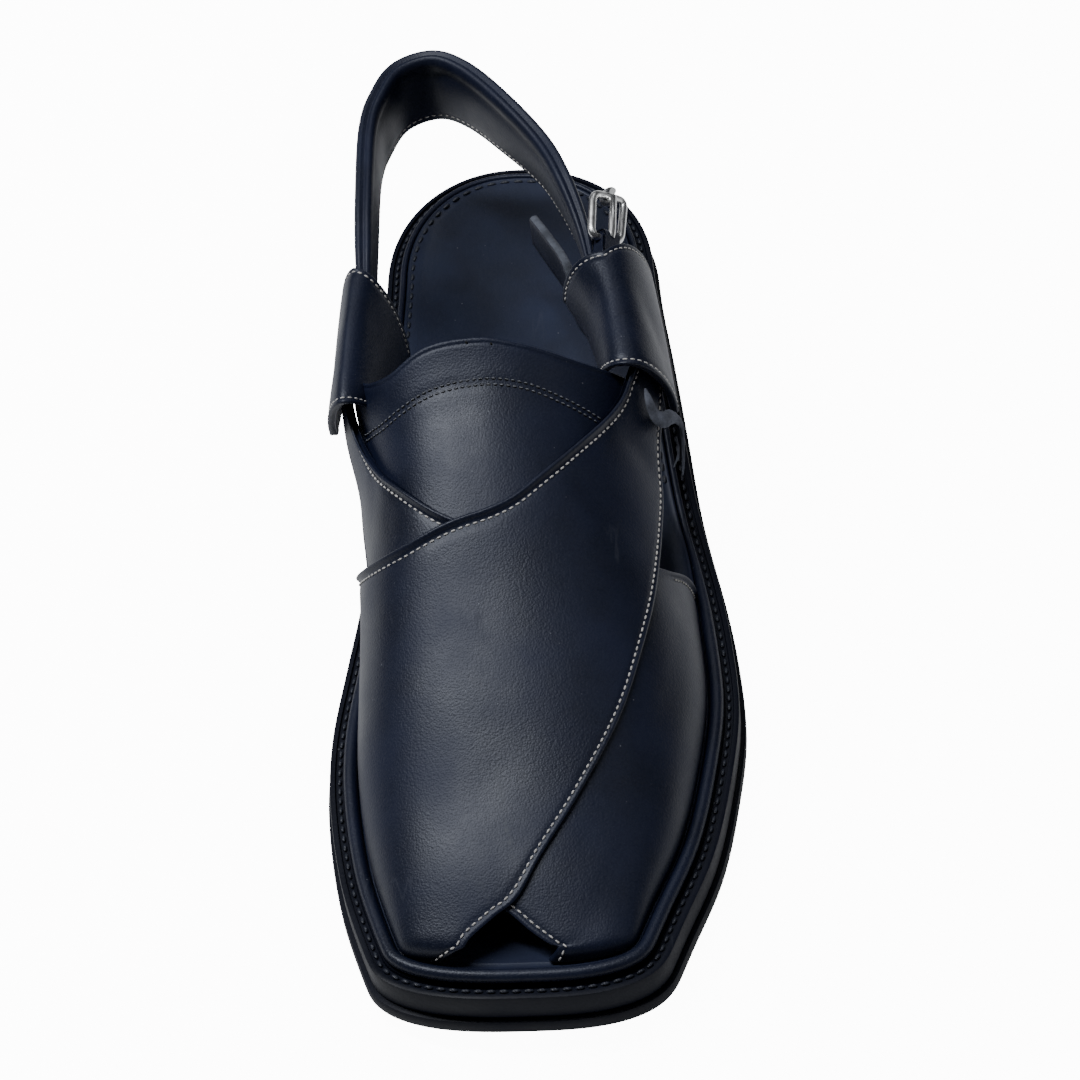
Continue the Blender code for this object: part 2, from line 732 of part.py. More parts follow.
sole()
welt_bead()
upper()
tongue()
keeper("lateral_keeper", LATERAL_KEEPER, navy_leather)
keeper("medial_keeper", MEDIAL_KEEPER, navy_leather)
band("heel_strap", HEEL_STRAP, STRAP_STEPS, STRAP_THICKNESS, STRAP_RIM_RADIUS, navy_leather)
band("strap_tail", STRAP_TAIL, TAIL_STEPS, TAIL_THICKNESS, 0.0, suede_grey)
buckle()
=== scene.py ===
"""Looks of the left peshawari chappal: navy crossed panels, a padded heel strap, a welted square-toe sole.

Metres. +Z is up, the toe points to -Y and the outer (lateral) side of the foot is +X. Lengths along the shoe
are counted from the back of the heel and mostly given as shares of its length."""

from math import cos, exp, hypot, pi, radians, sin

import bmesh
import bpy
from mathutils import Matrix, Quaternion, Vector


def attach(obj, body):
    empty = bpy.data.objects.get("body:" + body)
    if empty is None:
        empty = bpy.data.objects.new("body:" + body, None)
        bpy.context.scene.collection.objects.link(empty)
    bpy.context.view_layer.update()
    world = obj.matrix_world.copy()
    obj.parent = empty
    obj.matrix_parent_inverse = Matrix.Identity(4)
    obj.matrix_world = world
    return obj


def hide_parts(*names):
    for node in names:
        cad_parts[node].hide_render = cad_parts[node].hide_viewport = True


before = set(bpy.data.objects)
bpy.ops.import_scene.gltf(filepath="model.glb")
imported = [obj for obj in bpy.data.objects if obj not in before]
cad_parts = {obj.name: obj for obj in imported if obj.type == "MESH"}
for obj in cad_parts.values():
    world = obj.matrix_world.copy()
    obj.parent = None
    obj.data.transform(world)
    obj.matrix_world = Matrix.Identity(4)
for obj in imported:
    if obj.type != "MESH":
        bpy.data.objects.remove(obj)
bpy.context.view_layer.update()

# Outsole: one moulded rubber sheet with toe spring, dropping through the arch from the heel to the flat ball
# of the foot. It is cemented under the midsole and stands a little proud of it all round.
LENGTH = 0.2985
BALL_WIDTH = 0.110
INSTEP_HEIGHT = 0.083
HEEL_CENTRE = 0.0375
HEEL_HEIGHT = 0.012
TOE_SPRING = 0.0055
OUTSOLE_THICKNESS = 0.0045
OUTSOLE_ROUND = 0.0009
ROUND_BEND = 0.3
TOP_RIM = 0.0036
UNDERSIDE = -0.9
GAP = 0.0003
BREAST = 0.2687
ARCH_END = 0.5158
SPRING_START = 0.7727
HEEL_ROUND = 0.046
HEEL_SQUARENESS = 2.1
TOE_ROUND = 0.016
TOE_SQUARENESS = 2.8
TOE_SLANT = 0.05
SLANT_START = 0.8518
RING_STEPS = (26, 60, 22)
TREAD_PITCH = 0.0042
WAVE_PERIOD = 0.314

# Columns: along (share of length), medial and lateral half width (shares of ball width)
OUTLINE = (
    (0.00, 0.332, 0.382),
    (0.1698, 0.341, 0.391),
    (0.2687, 0.355, 0.414),
    (0.3576, 0.368, 0.436),
    (0.4466, 0.382, 0.459),
    (0.5454, 0.409, 0.500),
    (0.6146, 0.438, 0.520),
    (0.6936, 0.468, 0.526),
    (0.7628, 0.470, 0.500),
    (0.8518, 0.440, 0.444),
    (0.9259, 0.390, 0.362),
    (1.00, 0.326, 0.284),
)


def hermite(start, end, start_slope, end_slope, t):
    """A cubic between two values with given slopes."""
    return (
        (2 * t ** 3 - 3 * t ** 2 + 1) * start + (t ** 3 - 2 * t ** 2 + t) * start_slope
        + (3 * t ** 2 - 2 * t ** 3) * end + (t ** 3 - t ** 2) * end_slope
    )


def read(table, column, at):
    """One column of a table at a place along it, on a smooth curve through its rows."""
    if at <= table[0][0]:
        return table[0][column]
    if at >= table[-1][0]:
        return table[-1][column]
    index = next(i for i in range(len(table) - 1) if at <= table[i + 1][0])
    low, high = table[index], table[index + 1]

    def slope(row):
        before, after = table[max(row - 1, 0)], table[min(row + 1, len(table) - 1)]
        return (after[column] - before[column]) / (after[0] - before[0])

    step = high[0] - low[0]
    share = (at - low[0]) / step
    return hermite(low[column], high[column], slope(index) * step, slope(index + 1) * step, share)


def ease(t):
    """A smooth step from 0 to 1."""
    t = min(max(t, 0.0), 1.0)
    return t * t * (3 - 2 * t)


def bottom_z(along):
    """Underside of the outsole: level at the heel, down through the arch, flat at the ball, up at the toe."""
    share = along / LENGTH
    drop = HEEL_HEIGHT * (1 - ease((share - BREAST) / (ARCH_END - BREAST)))
    return drop + TOE_SPRING * max((share - SPRING_START) / (1 - SPRING_START), 0) ** 2


def outsole_top(along):
    return bottom_z(along) + OUTSOLE_THICKNESS


def toe_slant(along, x):
    """The square toe runs a little further forward on its lateral side."""
    return TOE_SLANT * x * ease((along / LENGTH - SLANT_START) / (1 - SLANT_START))


def half_outline(column):
    """One side of the outline from the back of the heel to the toe."""
    heel_steps, side_steps, toe_steps = RING_STEPS
    places = []
    for step in range(heel_steps):
        angle = pi / 2 * (1 - step / heel_steps)
        run, share = sin(angle) ** (2 / HEEL_SQUARENESS), cos(angle) ** (2 / HEEL_SQUARENESS)
        places.append((HEEL_ROUND * (1 - run), share))
    straight = LENGTH - HEEL_ROUND - TOE_ROUND
    places += [(HEEL_ROUND + straight * step / side_steps, 1.0) for step in range(side_steps)]
    for step in range(toe_steps + 1):
        angle = pi / 2 * step / toe_steps
        run, share = sin(angle) ** (2 / TOE_SQUARENESS), max(cos(angle), 0.0) ** (2 / TOE_SQUARENESS)
        places.append((LENGTH - TOE_ROUND * (1 - run), share))
    side = -1 if column == 1 else 1
    placed = []
    for along, share in places:
        x = side * share * read(OUTLINE, column, along / LENGTH) * BALL_WIDTH
        placed.append(Vector((x, HEEL_CENTRE - along - toe_slant(along, x))))
    placed[0].x = placed[-1].x = 0.0
    return placed


HALVES = {column: half_outline(column) for column in (1, 2)}


def inset_side(column, inset):
    """One side of the outline moved in by an inset, a length or a function of the place along the shoe."""
    points, others = HALVES[column], HALVES[3 - column]
    turn = 1 if column == 1 else -1
    moved = []
    for index, point in enumerate(points):
        before = points[index - 1] if index else others[1]
        after = points[index + 1] if index + 1 < len(points) else others[-2]
        run = (after - before).normalized()
        move = inset(HEEL_CENTRE - point.y) if callable(inset) else inset
        moved.append(point + turn * move * Vector((-run.y, run.x)))
    return moved


def ring(inset, height):
    """The outline as a closed ring: the medial side from heel to toe, then the lateral side back."""
    medial, lateral = inset_side(1, inset), inset_side(2, inset)
    return [Vector((spot.x, spot.y, height(HEEL_CENTRE - spot.y))) for spot in medial + lateral[-2:0:-1]]


def drawn(work, rings):
    """Draws a circle of vertices up through rings of points and returns each ring's vertices in order."""
    spot = work.verts.layers.int.new("spot")
    start = bmesh.ops.create_circle(work, segments=len(rings[0]), radius=LENGTH)["verts"]
    for index, vertex in enumerate(start):
        vertex[spot] = index
    edges, loops = list(work.edges), [start]
    for _ in rings[1:]:
        grown = bmesh.ops.extrude_edge_only(work, edges=edges)["geom"]
        edges = [part for part in grown if isinstance(part, bmesh.types.BMEdge)]
        loop = [part for part in grown if isinstance(part, bmesh.types.BMVert)]
        loops.append(sorted(loop, key=lambda vertex: vertex[spot]))
    for loop, places in zip(loops, rings):
        for vertex, place in zip(loop, places):
            vertex.co = place
    return loops


def edge_between(first, second):
    return next(edge for edge in first.link_edges if edge.other_vert(first) is second)


def cap_across(work, loop, cuts):
    """Closes a ring of the sole with strips from side to side, each cut into a row of faces."""
    middle = len(loop) // 2
    medial = [edge_between(loop[i], loop[i + 1]) for i in range(1, middle - 1)]
    lateral = [edge_between(loop[i], loop[i + 1]) for i in range(middle + 1, len(loop) - 1)]
    made = bmesh.ops.bridge_loops(work, edges=medial + lateral)
    if cuts:
        bmesh.ops.subdivide_edges(work, edges=made["edges"], cuts=cuts, use_grid_fill=True)
    bmesh.ops.holes_fill(work, edges=[edge for edge in work.edges if edge.is_boundary], sides=cuts + 4)


SHARP_ANGLE = radians(40)


def shown(name, work, finish, slot, *replaced, sharp=SHARP_ANGLE):
    """Turns a bmesh into a piece of the shoe that stands for its CAD nodes."""
    mesh = bpy.data.meshes.new(name)
    work.to_mesh(mesh)
    work.free()
    mesh.materials.append(finish)
    mesh.shade_smooth()
    mesh.set_sharp_from_angle(angle=sharp)
    piece = bpy.data.objects.new(name, mesh)
    bpy.context.scene.collection.objects.link(piece)
    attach(piece, "root")
    if replaced:
        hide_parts(*replaced)
    return piece


def feed(tree, socket, value):
    """Gives a socket its value, or joins it to the socket that makes the value."""
    if isinstance(value, bpy.types.NodeSocket):
        tree.links.new(value, socket)
    else:
        socket.default_value = value


def add_node(tree, kind, settings=None, **inputs):
    """A shader node with its settings and its inputs, given by name with spaces as underscores."""
    node = tree.nodes.new(kind)
    for setting, value in (settings or {}).items():
        setattr(node, setting, value)
    for name, value in inputs.items():
        feed(tree, node.inputs[name.replace("_", " ")], value)
    return node


def curve_of(tree, value, low, high, to_low=0.0, to_high=1.0):
    """A value brought from one range to another and held there."""
    made = add_node(
        tree, "ShaderNodeMapRange", None,
        Value=value, From_Min=low, From_Max=high, To_Min=to_low, To_Max=to_high,
    )
    return made.outputs["Result"]


def arithmetic(tree, operation, first, second):
    """One sum on values or sockets."""
    made = tree.nodes.new("ShaderNodeMath")
    made.operation = operation
    for socket, value in zip(made.inputs, (first, second)):
        feed(tree, socket, value)
    return made.outputs["Value"]


def blended(tree, share, first, second):
    """Two colours mixed by a share."""
    made = tree.nodes.new("ShaderNodeMix")
    made.data_type = "RGBA"
    for socket, value in zip((made.inputs[0], made.inputs[6], made.inputs[7]), (share, first, second)):
        feed(tree, socket, value)
    return made.outputs[2]


def new_group(name, inputs, outputs):
    """An empty shader node group with its inputs, numbers or vectors, and its outputs."""
    group = bpy.data.node_groups.new(name, "ShaderNodeTree")
    for socket, value in inputs.items():
        kind = "NodeSocketFloat" if isinstance(value, float) else "NodeSocketVector"
        group.interface.new_socket(socket, in_out="INPUT", socket_type=kind).default_value = value
    for socket, kind in outputs.items():
        group.interface.new_socket(socket, in_out="OUTPUT", socket_type=kind)
    return group, group.nodes.new("NodeGroupInput"), group.nodes.new("NodeGroupOutput")


def surface_grain():
    """Fine pebbled grain on a slow unevenness: a normal, a mask that is 1 on the grain's tops, and clouds."""
    group, given, out = new_group(
        "surface_grain", {"Scale": 1500.0, "Depth": 0.00005, "Strength": 0.5},
        {"Normal": "NodeSocketVector", "Tops": "NodeSocketFloat", "Clouds": "NodeSocketFloat"},
    )
    place = add_node(group, "ShaderNodeTexCoord").outputs["Object"]
    cells = add_node(
        group, "ShaderNodeTexVoronoi", {"feature": "SMOOTH_F1"}, Vector=place, Scale=given.outputs["Scale"],
    )
    tops = curve_of(group, cells.outputs["Distance"], 0.75, 0.1)
    fine = add_node(group, "ShaderNodeTexNoise", None, Vector=place, Scale=3800.0, Detail=2.0)
    clouds = add_node(group, "ShaderNodeTexNoise", None, Vector=place, Scale=42.0, Detail=4.0, Roughness=0.55)
    height = arithmetic(group, "ADD", tops, arithmetic(group, "MULTIPLY", fine.outputs["Fac"], 0.5))
    height = arithmetic(group, "ADD", height, arithmetic(group, "MULTIPLY", clouds.outputs["Fac"], 1.6))
    bump = add_node(
        group, "ShaderNodeBump", None,
        Height=height, Distance=given.outputs["Depth"], Strength=given.outputs["Strength"],
    )
    group.links.new(bump.outputs["Normal"], out.inputs["Normal"])
    group.links.new(tops, out.inputs["Tops"])
    group.links.new(clouds.outputs["Fac"], out.inputs["Clouds"])
    return group


def handling_marks():
    """Masks of hairline scratches and of dust specks."""
    group, given, out = new_group(
        "handling_marks", {"Scratch Scale": 55.0, "Dust Scale": 620.0},
        {"Scratches": "NodeSocketFloat", "Dust": "NodeSocketFloat"},
    )
    place = add_node(group, "ShaderNodeTexCoord").outputs["Object"]
    turned = add_node(group, "ShaderNodeMapping", None, Vector=place)
    turned.inputs["Rotation"].default_value = (0.0, 0.0, radians(64))
    turned.inputs["Scale"].default_value = (1.0, 0.07, 0.4)
    hair = add_node(
        group, "ShaderNodeTexNoise", None,
        Vector=turned.outputs["Vector"], Scale=given.outputs["Scratch Scale"], Detail=5.0,
    )
    line = arithmetic(group, "ABSOLUTE", arithmetic(group, "SUBTRACT", hair.outputs["Fac"], 0.5), 0.0)
    patches = add_node(group, "ShaderNodeTexNoise", None, Vector=place, Scale=38.0, Detail=2.0)
    where = curve_of(group, patches.outputs["Fac"], 0.55, 0.68)
    scratches = arithmetic(group, "MULTIPLY", curve_of(group, line, 0.006, 0.0), where)
    grit = add_node(
        group, "ShaderNodeTexVoronoi", {"feature": "F1"}, Vector=place, Scale=given.outputs["Dust Scale"],
    )
    picked = add_node(group, "ShaderNodeTexNoise", None, Vector=place, Scale=260.0, Detail=1.0)
    where = curve_of(group, picked.outputs["Fac"], 0.66, 0.72)
    dust = arithmetic(group, "MULTIPLY", curve_of(group, grit.outputs["Distance"], 0.16, 0.08), where)
    group.links.new(scratches, out.inputs["Scratches"])
    group.links.new(dust, out.inputs["Dust"])
    return group


GRAIN_GROUP = surface_grain()
MARKS_GROUP = handling_marks()


def placed_group(tree, group, **values):
    """A node group put into a material, with its own values."""
    made = tree.nodes.new("ShaderNodeGroup")
    made.node_tree = group
    for name, value in values.items():
        made.inputs[name.replace("_", " ")].default_value = value
    return made.outputs


def blank_finish(name, colour, roughness, **sockets):
    """A material with its Principled shader and the same colour for the viewport."""
    finish = bpy.data.materials.new(name)
    finish.use_nodes = True
    finish.diffuse_color = (*colour, 1.0)
    shader = finish.node_tree.nodes["Principled BSDF"]
    shader.inputs["Base Color"].default_value = (*colour, 1.0)
    shader.inputs["Roughness"].default_value = roughness
    for socket, value in sockets.items():
        shader.inputs[socket.replace("_", " ")].default_value = value
    return finish, finish.node_tree, shader


def moulded_rubber():
    """Dark rubber: satin, finely pitted, with grey dust caught in the low places."""
    finish, tree, shader = blank_finish(
        "moulded_rubber", (0.0018, 0.0034, 0.0130), 0.5, Specular_IOR_Level=0.13,
    )
    grain = placed_group(tree, GRAIN_GROUP, Scale=900.0, Depth=0.00006, Strength=0.45)
    marks = placed_group(tree, MARKS_GROUP, Scratch_Scale=40.0, Dust_Scale=480.0)
    tone = blended(tree, grain["Clouds"], (0.0016, 0.0024, 0.0065, 1), (0.0036, 0.0052, 0.0130, 1))
    tone = blended(tree, arithmetic(tree, "MULTIPLY", marks["Dust"], 0.6), tone, (0.16, 0.17, 0.19, 1))
    tone = blended(tree, arithmetic(tree, "MULTIPLY", marks["Scratches"], 0.25), tone, (0.09, 0.10, 0.12, 1))
    tree.links.new(tone, shader.inputs["Base Color"])
    tree.links.new(curve_of(tree, grain["Clouds"], 0.3, 0.7, 0.42, 0.60), shader.inputs["Roughness"])
    tree.links.new(grain["Normal"], shader.inputs["Normal"])
    return finish


def tread_rubber():
    """The same rubber underneath, with fine cross ribs pressed into it."""
    finish = RUBBER.copy()
    finish.name = "tread_rubber"
    tree = finish.node_tree
    shader = tree.nodes["Principled BSDF"]
    place = add_node(tree, "ShaderNodeTexCoord").outputs["Object"]
    ribs = add_node(
        tree, "ShaderNodeTexWave", {"wave_type": "BANDS", "bands_direction": "Y", "wave_profile": "SIN"},
        Vector=place, Scale=WAVE_PERIOD / TREAD_PITCH, Distortion=0.0,
    )
    first = shader.inputs["Normal"].links[0].from_socket
    bump = add_node(
        tree, "ShaderNodeBump", None, Height=ribs.outputs["Fac"], Distance=0.0006, Strength=0.9, Normal=first,
    )
    tree.links.new(bump.outputs["Normal"], shader.inputs["Normal"])
    return finish


RUBBER = moulded_rubber()
TREAD = tread_rubber()


def soled(piece):
    """Gives the ribbed rubber to the faces that look at the floor."""
    piece.data.materials.append(TREAD)
    for face in piece.data.polygons:
        face.material_index = int(face.normal.z < UNDERSIDE)


work = bmesh.new()
loops = drawn(work, [
    ring(OUTSOLE_ROUND, bottom_z),
    ring(OUTSOLE_ROUND * ROUND_BEND, lambda along: bottom_z(along) + OUTSOLE_ROUND * ROUND_BEND),
    ring(0.0, lambda along: bottom_z(along) + OUTSOLE_ROUND),
    ring(0.0, lambda along: outsole_top(along) - OUTSOLE_ROUND),
    ring(OUTSOLE_ROUND * ROUND_BEND, lambda along: outsole_top(along) - OUTSOLE_ROUND * ROUND_BEND),
    ring(OUTSOLE_ROUND, outsole_top),
    ring(TOP_RIM, outsole_top),
])
cap_across(work, loops[0], 0)
cap_across(work, loops[-1], 0)
bmesh.ops.recalc_face_normals(work, faces=work.faces)
soled(shown("outsole_rubber", work, RUBBER, "sole_rubber", "outsole"))

# Heel lift: a low block of the same rubber in three lifts, cemented one on the other and under the heel seat.
# Its breast is cut straight.
HEEL_INSET = 0.0012
LIFT_GROOVE = 0.0004
LIFT_JOINTS = (0.34, 0.68)
heel_count = RING_STEPS[0] + 1 + round(
    (BREAST * LENGTH - HEEL_ROUND) / ((LENGTH - HEEL_ROUND - TOE_ROUND) / RING_STEPS[1])
)


def heel_ring(inset, height):
    """The heel's part of the outline, closed by the breast."""
    medial, lateral = inset_side(1, inset), inset_side(2, inset)
    flat = medial[:heel_count] + lateral[1:heel_count][::-1]
    return [Vector((spot.x, spot.y, height)) for spot in flat]


heel_top = HEEL_HEIGHT - GAP
lift_rings = [heel_ring(HEEL_INSET + OUTSOLE_ROUND, 0.0), heel_ring(HEEL_INSET, OUTSOLE_ROUND)]
for share in LIFT_JOINTS:
    height = heel_top * share
    lift_rings += [
        heel_ring(HEEL_INSET, height - LIFT_GROOVE),
        heel_ring(HEEL_INSET + LIFT_GROOVE, height),
        heel_ring(HEEL_INSET, height + LIFT_GROOVE),
    ]
lift_rings.append(heel_ring(HEEL_INSET, heel_top))


def closed(rings):
    """A shape drawn through rings of points and closed at both ends."""
    work = bmesh.new()
    loops = drawn(work, rings)
    for loop in (loops[0], loops[-1]):
        bmesh.ops.contextual_create(work, geom=loop)
    bmesh.ops.recalc_face_normals(work, faces=work.faces)
    return work


soled(shown("heel_block", closed(lift_rings), RUBBER, "sole_rubber", "heel_lift"))

# Midsole: a thick rubber-faced welt with a smooth wall, rounded corners and a channel on top for the thread.
# It is cemented to the outsole. The steps of its profile below are shares of the corner's size.
MIDSOLE_THICKNESS = 0.0082
FLARE = 0.0014
LEDGE = 0.0017
GROOVE_WIDTH = 0.0020
GROOVE_DEPTH = 0.0008
CORNER = 0.0007


def midsole_top(along):
    return outsole_top(along) + GAP + MIDSOLE_THICKNESS


groove = FLARE + LEDGE
groove_end = groove + GROOVE_WIDTH
work = bmesh.new()
loops = drawn(work, [
    ring(FLARE + CORNER, lambda along: outsole_top(along) + GAP * 0.2),
    ring(FLARE + CORNER * 0.2, lambda along: outsole_top(along) + CORNER * 0.6),
    ring(FLARE, lambda along: outsole_top(along) + CORNER * 1.6),
    ring(FLARE, lambda along: midsole_top(along) - CORNER * 1.2),
    ring(FLARE + CORNER * 0.25, lambda along: midsole_top(along) - CORNER * 0.35),
    ring(FLARE + CORNER, midsole_top),
    ring(groove - CORNER * 0.3, midsole_top),
    ring(groove, lambda along: midsole_top(along) - GROOVE_DEPTH),
    ring(groove_end, lambda along: midsole_top(along) - GROOVE_DEPTH),
    ring(groove_end + CORNER * 0.3, midsole_top),
])
cap_across(work, loops[0], 0)
cap_across(work, loops[-1], 0)
bmesh.ops.recalc_face_normals(work, faces=work.faces)
shown("midsole_welt", work, RUBBER, "sole_rubber", "midsole")

# Welt stitching: a heavy waxed thread, sewn down in the channel through welt and upper, one long stitch after
# another right round the shoe.
WELT_PITCH = 0.0031
WELT_STITCH = (0.0023, 0.00055, 0.00050)
STITCH_FACETS = (8, 5)


def spaced(path, pitch):
    """Places at equal steps along a path of (point, normal), each with the path's direction there."""
    placed, left = [], pitch / 2
    for (here, up), (there, _) in zip(path, path[1:]):
        run = there - here
        while left <= run.length:
            placed.append((here + run.normalized() * left, up, run.normalized()))
            left += pitch
        left -= run.length
    return placed


def sewn(name, paths, pitch, size, finish, slot):
    """A row of stitches: long rounded beads of thread that lie along the paths and dip at both ends."""
    work = bmesh.new()
    long, wide, high = size
    for path in paths:
        for spot, up, run in spaced(path, pitch):
            sideways = up.cross(run).normalized()
            lift = run.cross(sideways).normalized()
            turn = Matrix((run, sideways, lift)).transposed().to_4x4()
            shape = Matrix.Diagonal((long / 2, wide, high, 1.0))
            bmesh.ops.create_uvsphere(
                work, u_segments=STITCH_FACETS[0], v_segments=STITCH_FACETS[1], radius=1.0,
                matrix=Matrix.Translation(spot) @ turn @ shape @ Matrix.Rotation(pi / 2, 4, "Y"),
            )
    return shown(name, work, finish, slot, sharp=pi)


def twisted_thread(name, colour, roughness):
    """Waxed thread: fine slanting strands over one colour."""
    finish, tree, shader = blank_finish(name, colour, roughness)
    place = add_node(tree, "ShaderNodeTexCoord").outputs["Object"]
    strands = add_node(
        tree, "ShaderNodeTexWave", {"wave_type": "BANDS", "bands_direction": "DIAGONAL"},
        Vector=place, Scale=900.0, Distortion=1.5,
    )
    bump = add_node(
        tree, "ShaderNodeBump", None, Height=strands.outputs["Fac"], Distance=0.0001, Strength=0.6,
    )
    fibre = add_node(tree, "ShaderNodeTexNoise", None, Vector=place, Scale=2600.0, Detail=2.0)
    dark = tuple(part * 0.55 for part in colour)
    tone = blended(tree, curve_of(tree, fibre.outputs["Fac"], 0.3, 0.7), (*dark, 1.0), (*colour, 1.0))
    tree.links.new(tone, shader.inputs["Base Color"])
    tree.links.new(bump.outputs["Normal"], shader.inputs["Normal"])
    return finish


NAVY_THREAD = twisted_thread("navy_thread", (0.016, 0.020, 0.034), 0.5)
GREY_THREAD = twisted_thread("grey_thread", (0.20, 0.21, 0.24), 0.8)
IVORY_THREAD = twisted_thread("ivory_thread", (0.64, 0.62, 0.59), 0.8)
UP = Vector((0, 0, 1))
channel = ring(groove + GROOVE_WIDTH / 2, lambda along: midsole_top(along) - GROOVE_DEPTH * 0.55)
sewn(
    "welt_stitches", [[(spot, UP) for spot in channel + channel[:1]]],
    WELT_PITCH, WELT_STITCH, NAVY_THREAD, "navy_leather",
)

# Welt bead: leather piping laid in the corner between upper and midsole, full round the forefoot and a thin
# ridge round the heel seat.
BEAD_RADIUS = 0.0018
RIDGE_RADIUS = 0.0009
BEAD_THIN = 0.4861
BEAD_FULL = 0.6245
BEAD_SIDES = 14
WELD = 0.00001
POLISH_TINT = (0.86, 0.90, 1.0, 1.0)
NAVY_COLOUR = (0.0024, 0.0042, 0.0150)


def bead_radius(along):
    """The bead is full at the forefoot and a thin ridge round the heel."""
    grown = ease((along / LENGTH - BEAD_THIN) / (BEAD_FULL - BEAD_THIN))
    return RIDGE_RADIUS + (BEAD_RADIUS - RIDGE_RADIUS) * grown


def bead_inset(along):
    return FLARE + LEDGE + GROOVE_WIDTH + GAP + bead_radius(along)


def navy_finish(name, colour, roughness, grain_scale, grain_strength, coat):
    """Polished full-grain leather: pebbled, clouded in tone and gloss, with hairline scratches and dust."""
    finish, tree, shader = blank_finish(
        name, colour, roughness, Specular_IOR_Level=0.32, Specular_Tint=POLISH_TINT, Coat_Roughness=0.28,
    )
    grain = placed_group(tree, GRAIN_GROUP, Scale=grain_scale, Depth=0.00007, Strength=grain_strength)
    marks = placed_group(tree, MARKS_GROUP)
    low = tuple(part * 0.62 for part in colour)
    high = tuple(part * 1.5 for part in colour)
    tone = blended(tree, curve_of(tree, grain["Clouds"], 0.3, 0.7), (*low, 1.0), (*high, 1.0))
    tone = blended(tree, arithmetic(tree, "MULTIPLY", grain["Tops"], 0.35), tone, (0.010, 0.014, 0.030, 1.0))
    scratched = arithmetic(tree, "MULTIPLY", marks["Scratches"], 0.2)
    tone = blended(tree, scratched, tone, (0.06, 0.065, 0.085, 1.0))
    tone = blended(tree, arithmetic(tree, "MULTIPLY", marks["Dust"], 0.45), tone, (0.20, 0.21, 0.24, 1.0))
    tree.links.new(tone, shader.inputs["Base Color"])
    rough = curve_of(tree, grain["Clouds"], 0.3, 0.7, roughness - 0.05, roughness + 0.07)
    rough = arithmetic(tree, "ADD", rough, scratched)
    tree.links.new(rough, shader.inputs["Roughness"])
    polish = curve_of(tree, grain["Clouds"], 0.3, 0.7, coat * 1.4, coat * 0.5)
    tree.links.new(polish, shader.inputs["Coat Weight"])
    tree.links.new(grain["Normal"], shader.inputs["Normal"])
    return finish


LEATHER = navy_finish("navy_full_grain", NAVY_COLOUR, 0.46, 2000.0, 0.70, 0.06)
work = bmesh.new()
centres = ring(bead_inset, lambda along: midsole_top(along) + GAP + bead_radius(along))
rings = []
for turn in (2 * pi * step / BEAD_SIDES for step in range(BEAD_SIDES + 1)):
    line = []
    for index, centre in enumerate(centres):
        run = centres[(index + 1) % len(centres)] - centres[index - 1]
        inward = Vector((-run.y, run.x, 0)).normalized()
        radius = bead_radius(HEEL_CENTRE - centre.y)
        line.append(centre + radius * (inward * cos(turn) + UP * sin(turn)))
    rings.append(line)
drawn(work, rings)
bmesh.ops.remove_doubles(work, verts=work.verts, dist=WELD)
bmesh.ops.recalc_face_normals(work, faces=work.faces)
shown("welt_piping", work, LEATHER, "navy_leather", "welt_bead", sharp=pi)

# Footbed: a smooth lining leather over a thin board, dished under the foot. It is sewn down in a grooved
# inner row round the heel seat and by a fine edge row at the toe.
INSOLE_THICKNESS = 0.0016
FOOTBED_CUTS = 24
DISH_DEPTH = 0.0009
DISH_EDGE = 0.010
SEAT_ROW_INSET = 0.0015
SEAT_GROOVE_WIDTH = 0.0016
SEAT_GROOVE_DEPTH = 0.0006
SEAT_ROW_END = 0.44
SEAT_PITCH = 0.0040
TOE_EDGE_START = 0.955
TOE_EDGE_PITCH = 0.0018
TOE_EDGE_STITCH = (0.0013, 0.00022, 0.00018)
SEAT_STITCH = (0.0027, 0.00060, 0.00050)


def feather_inset(along):
    """From the outline in to the line where footbed and upper meet the bead."""
    return bead_inset(along) + bead_radius(along) + GAP


def footbed_top(along):
    return midsole_top(along) + GAP + INSOLE_THICKNESS


def seat_inset(along):
    """The inner row runs just inside the edge of the footbed."""
    return feather_inset(along) + SEAT_ROW_INSET


FOOTBED = navy_finish("footbed_lining", (0.0070, 0.0105, 0.0270), 0.50, 2300.0, 0.28, 0.05)
work = bmesh.new()
loops = drawn(work, [
    ring(feather_inset, lambda along: midsole_top(along) + GAP * 0.2),
    ring(feather_inset, lambda along: footbed_top(along) - GAP),
    ring(lambda along: feather_inset(along) + GAP, footbed_top),
    ring(lambda along: seat_inset(along) - SEAT_GROOVE_WIDTH / 2, footbed_top),
    ring(seat_inset, lambda along: footbed_top(along) - SEAT_GROOVE_DEPTH),
    ring(lambda along: seat_inset(along) + SEAT_GROOVE_WIDTH / 2, footbed_top),
])
cap_across(work, loops[0], 0)
cap_across(work, loops[-1], FOOTBED_CUTS)
bmesh.ops.recalc_face_normals(work, faces=work.faces)
for vertex in work.verts:
    along = HEEL_CENTRE - vertex.co.y
    if vertex.co.z < footbed_top(along) - GAP * 0.5:
        continue
    column = 1 if vertex.co.x < 0 else 2
    half = read(OUTLINE, column, along / LENGTH) * BALL_WIDTH - feather_inset(along)
    edge = feather_inset(along)
    from_side = min(half - abs(vertex.co.x), along - edge, LENGTH - along - edge)
    vertex.co.z -= DISH_DEPTH * ease(from_side / DISH_EDGE)
shown("footbed_lining", work, FOOTBED, "footbed_leather", "footbed", sharp=pi)

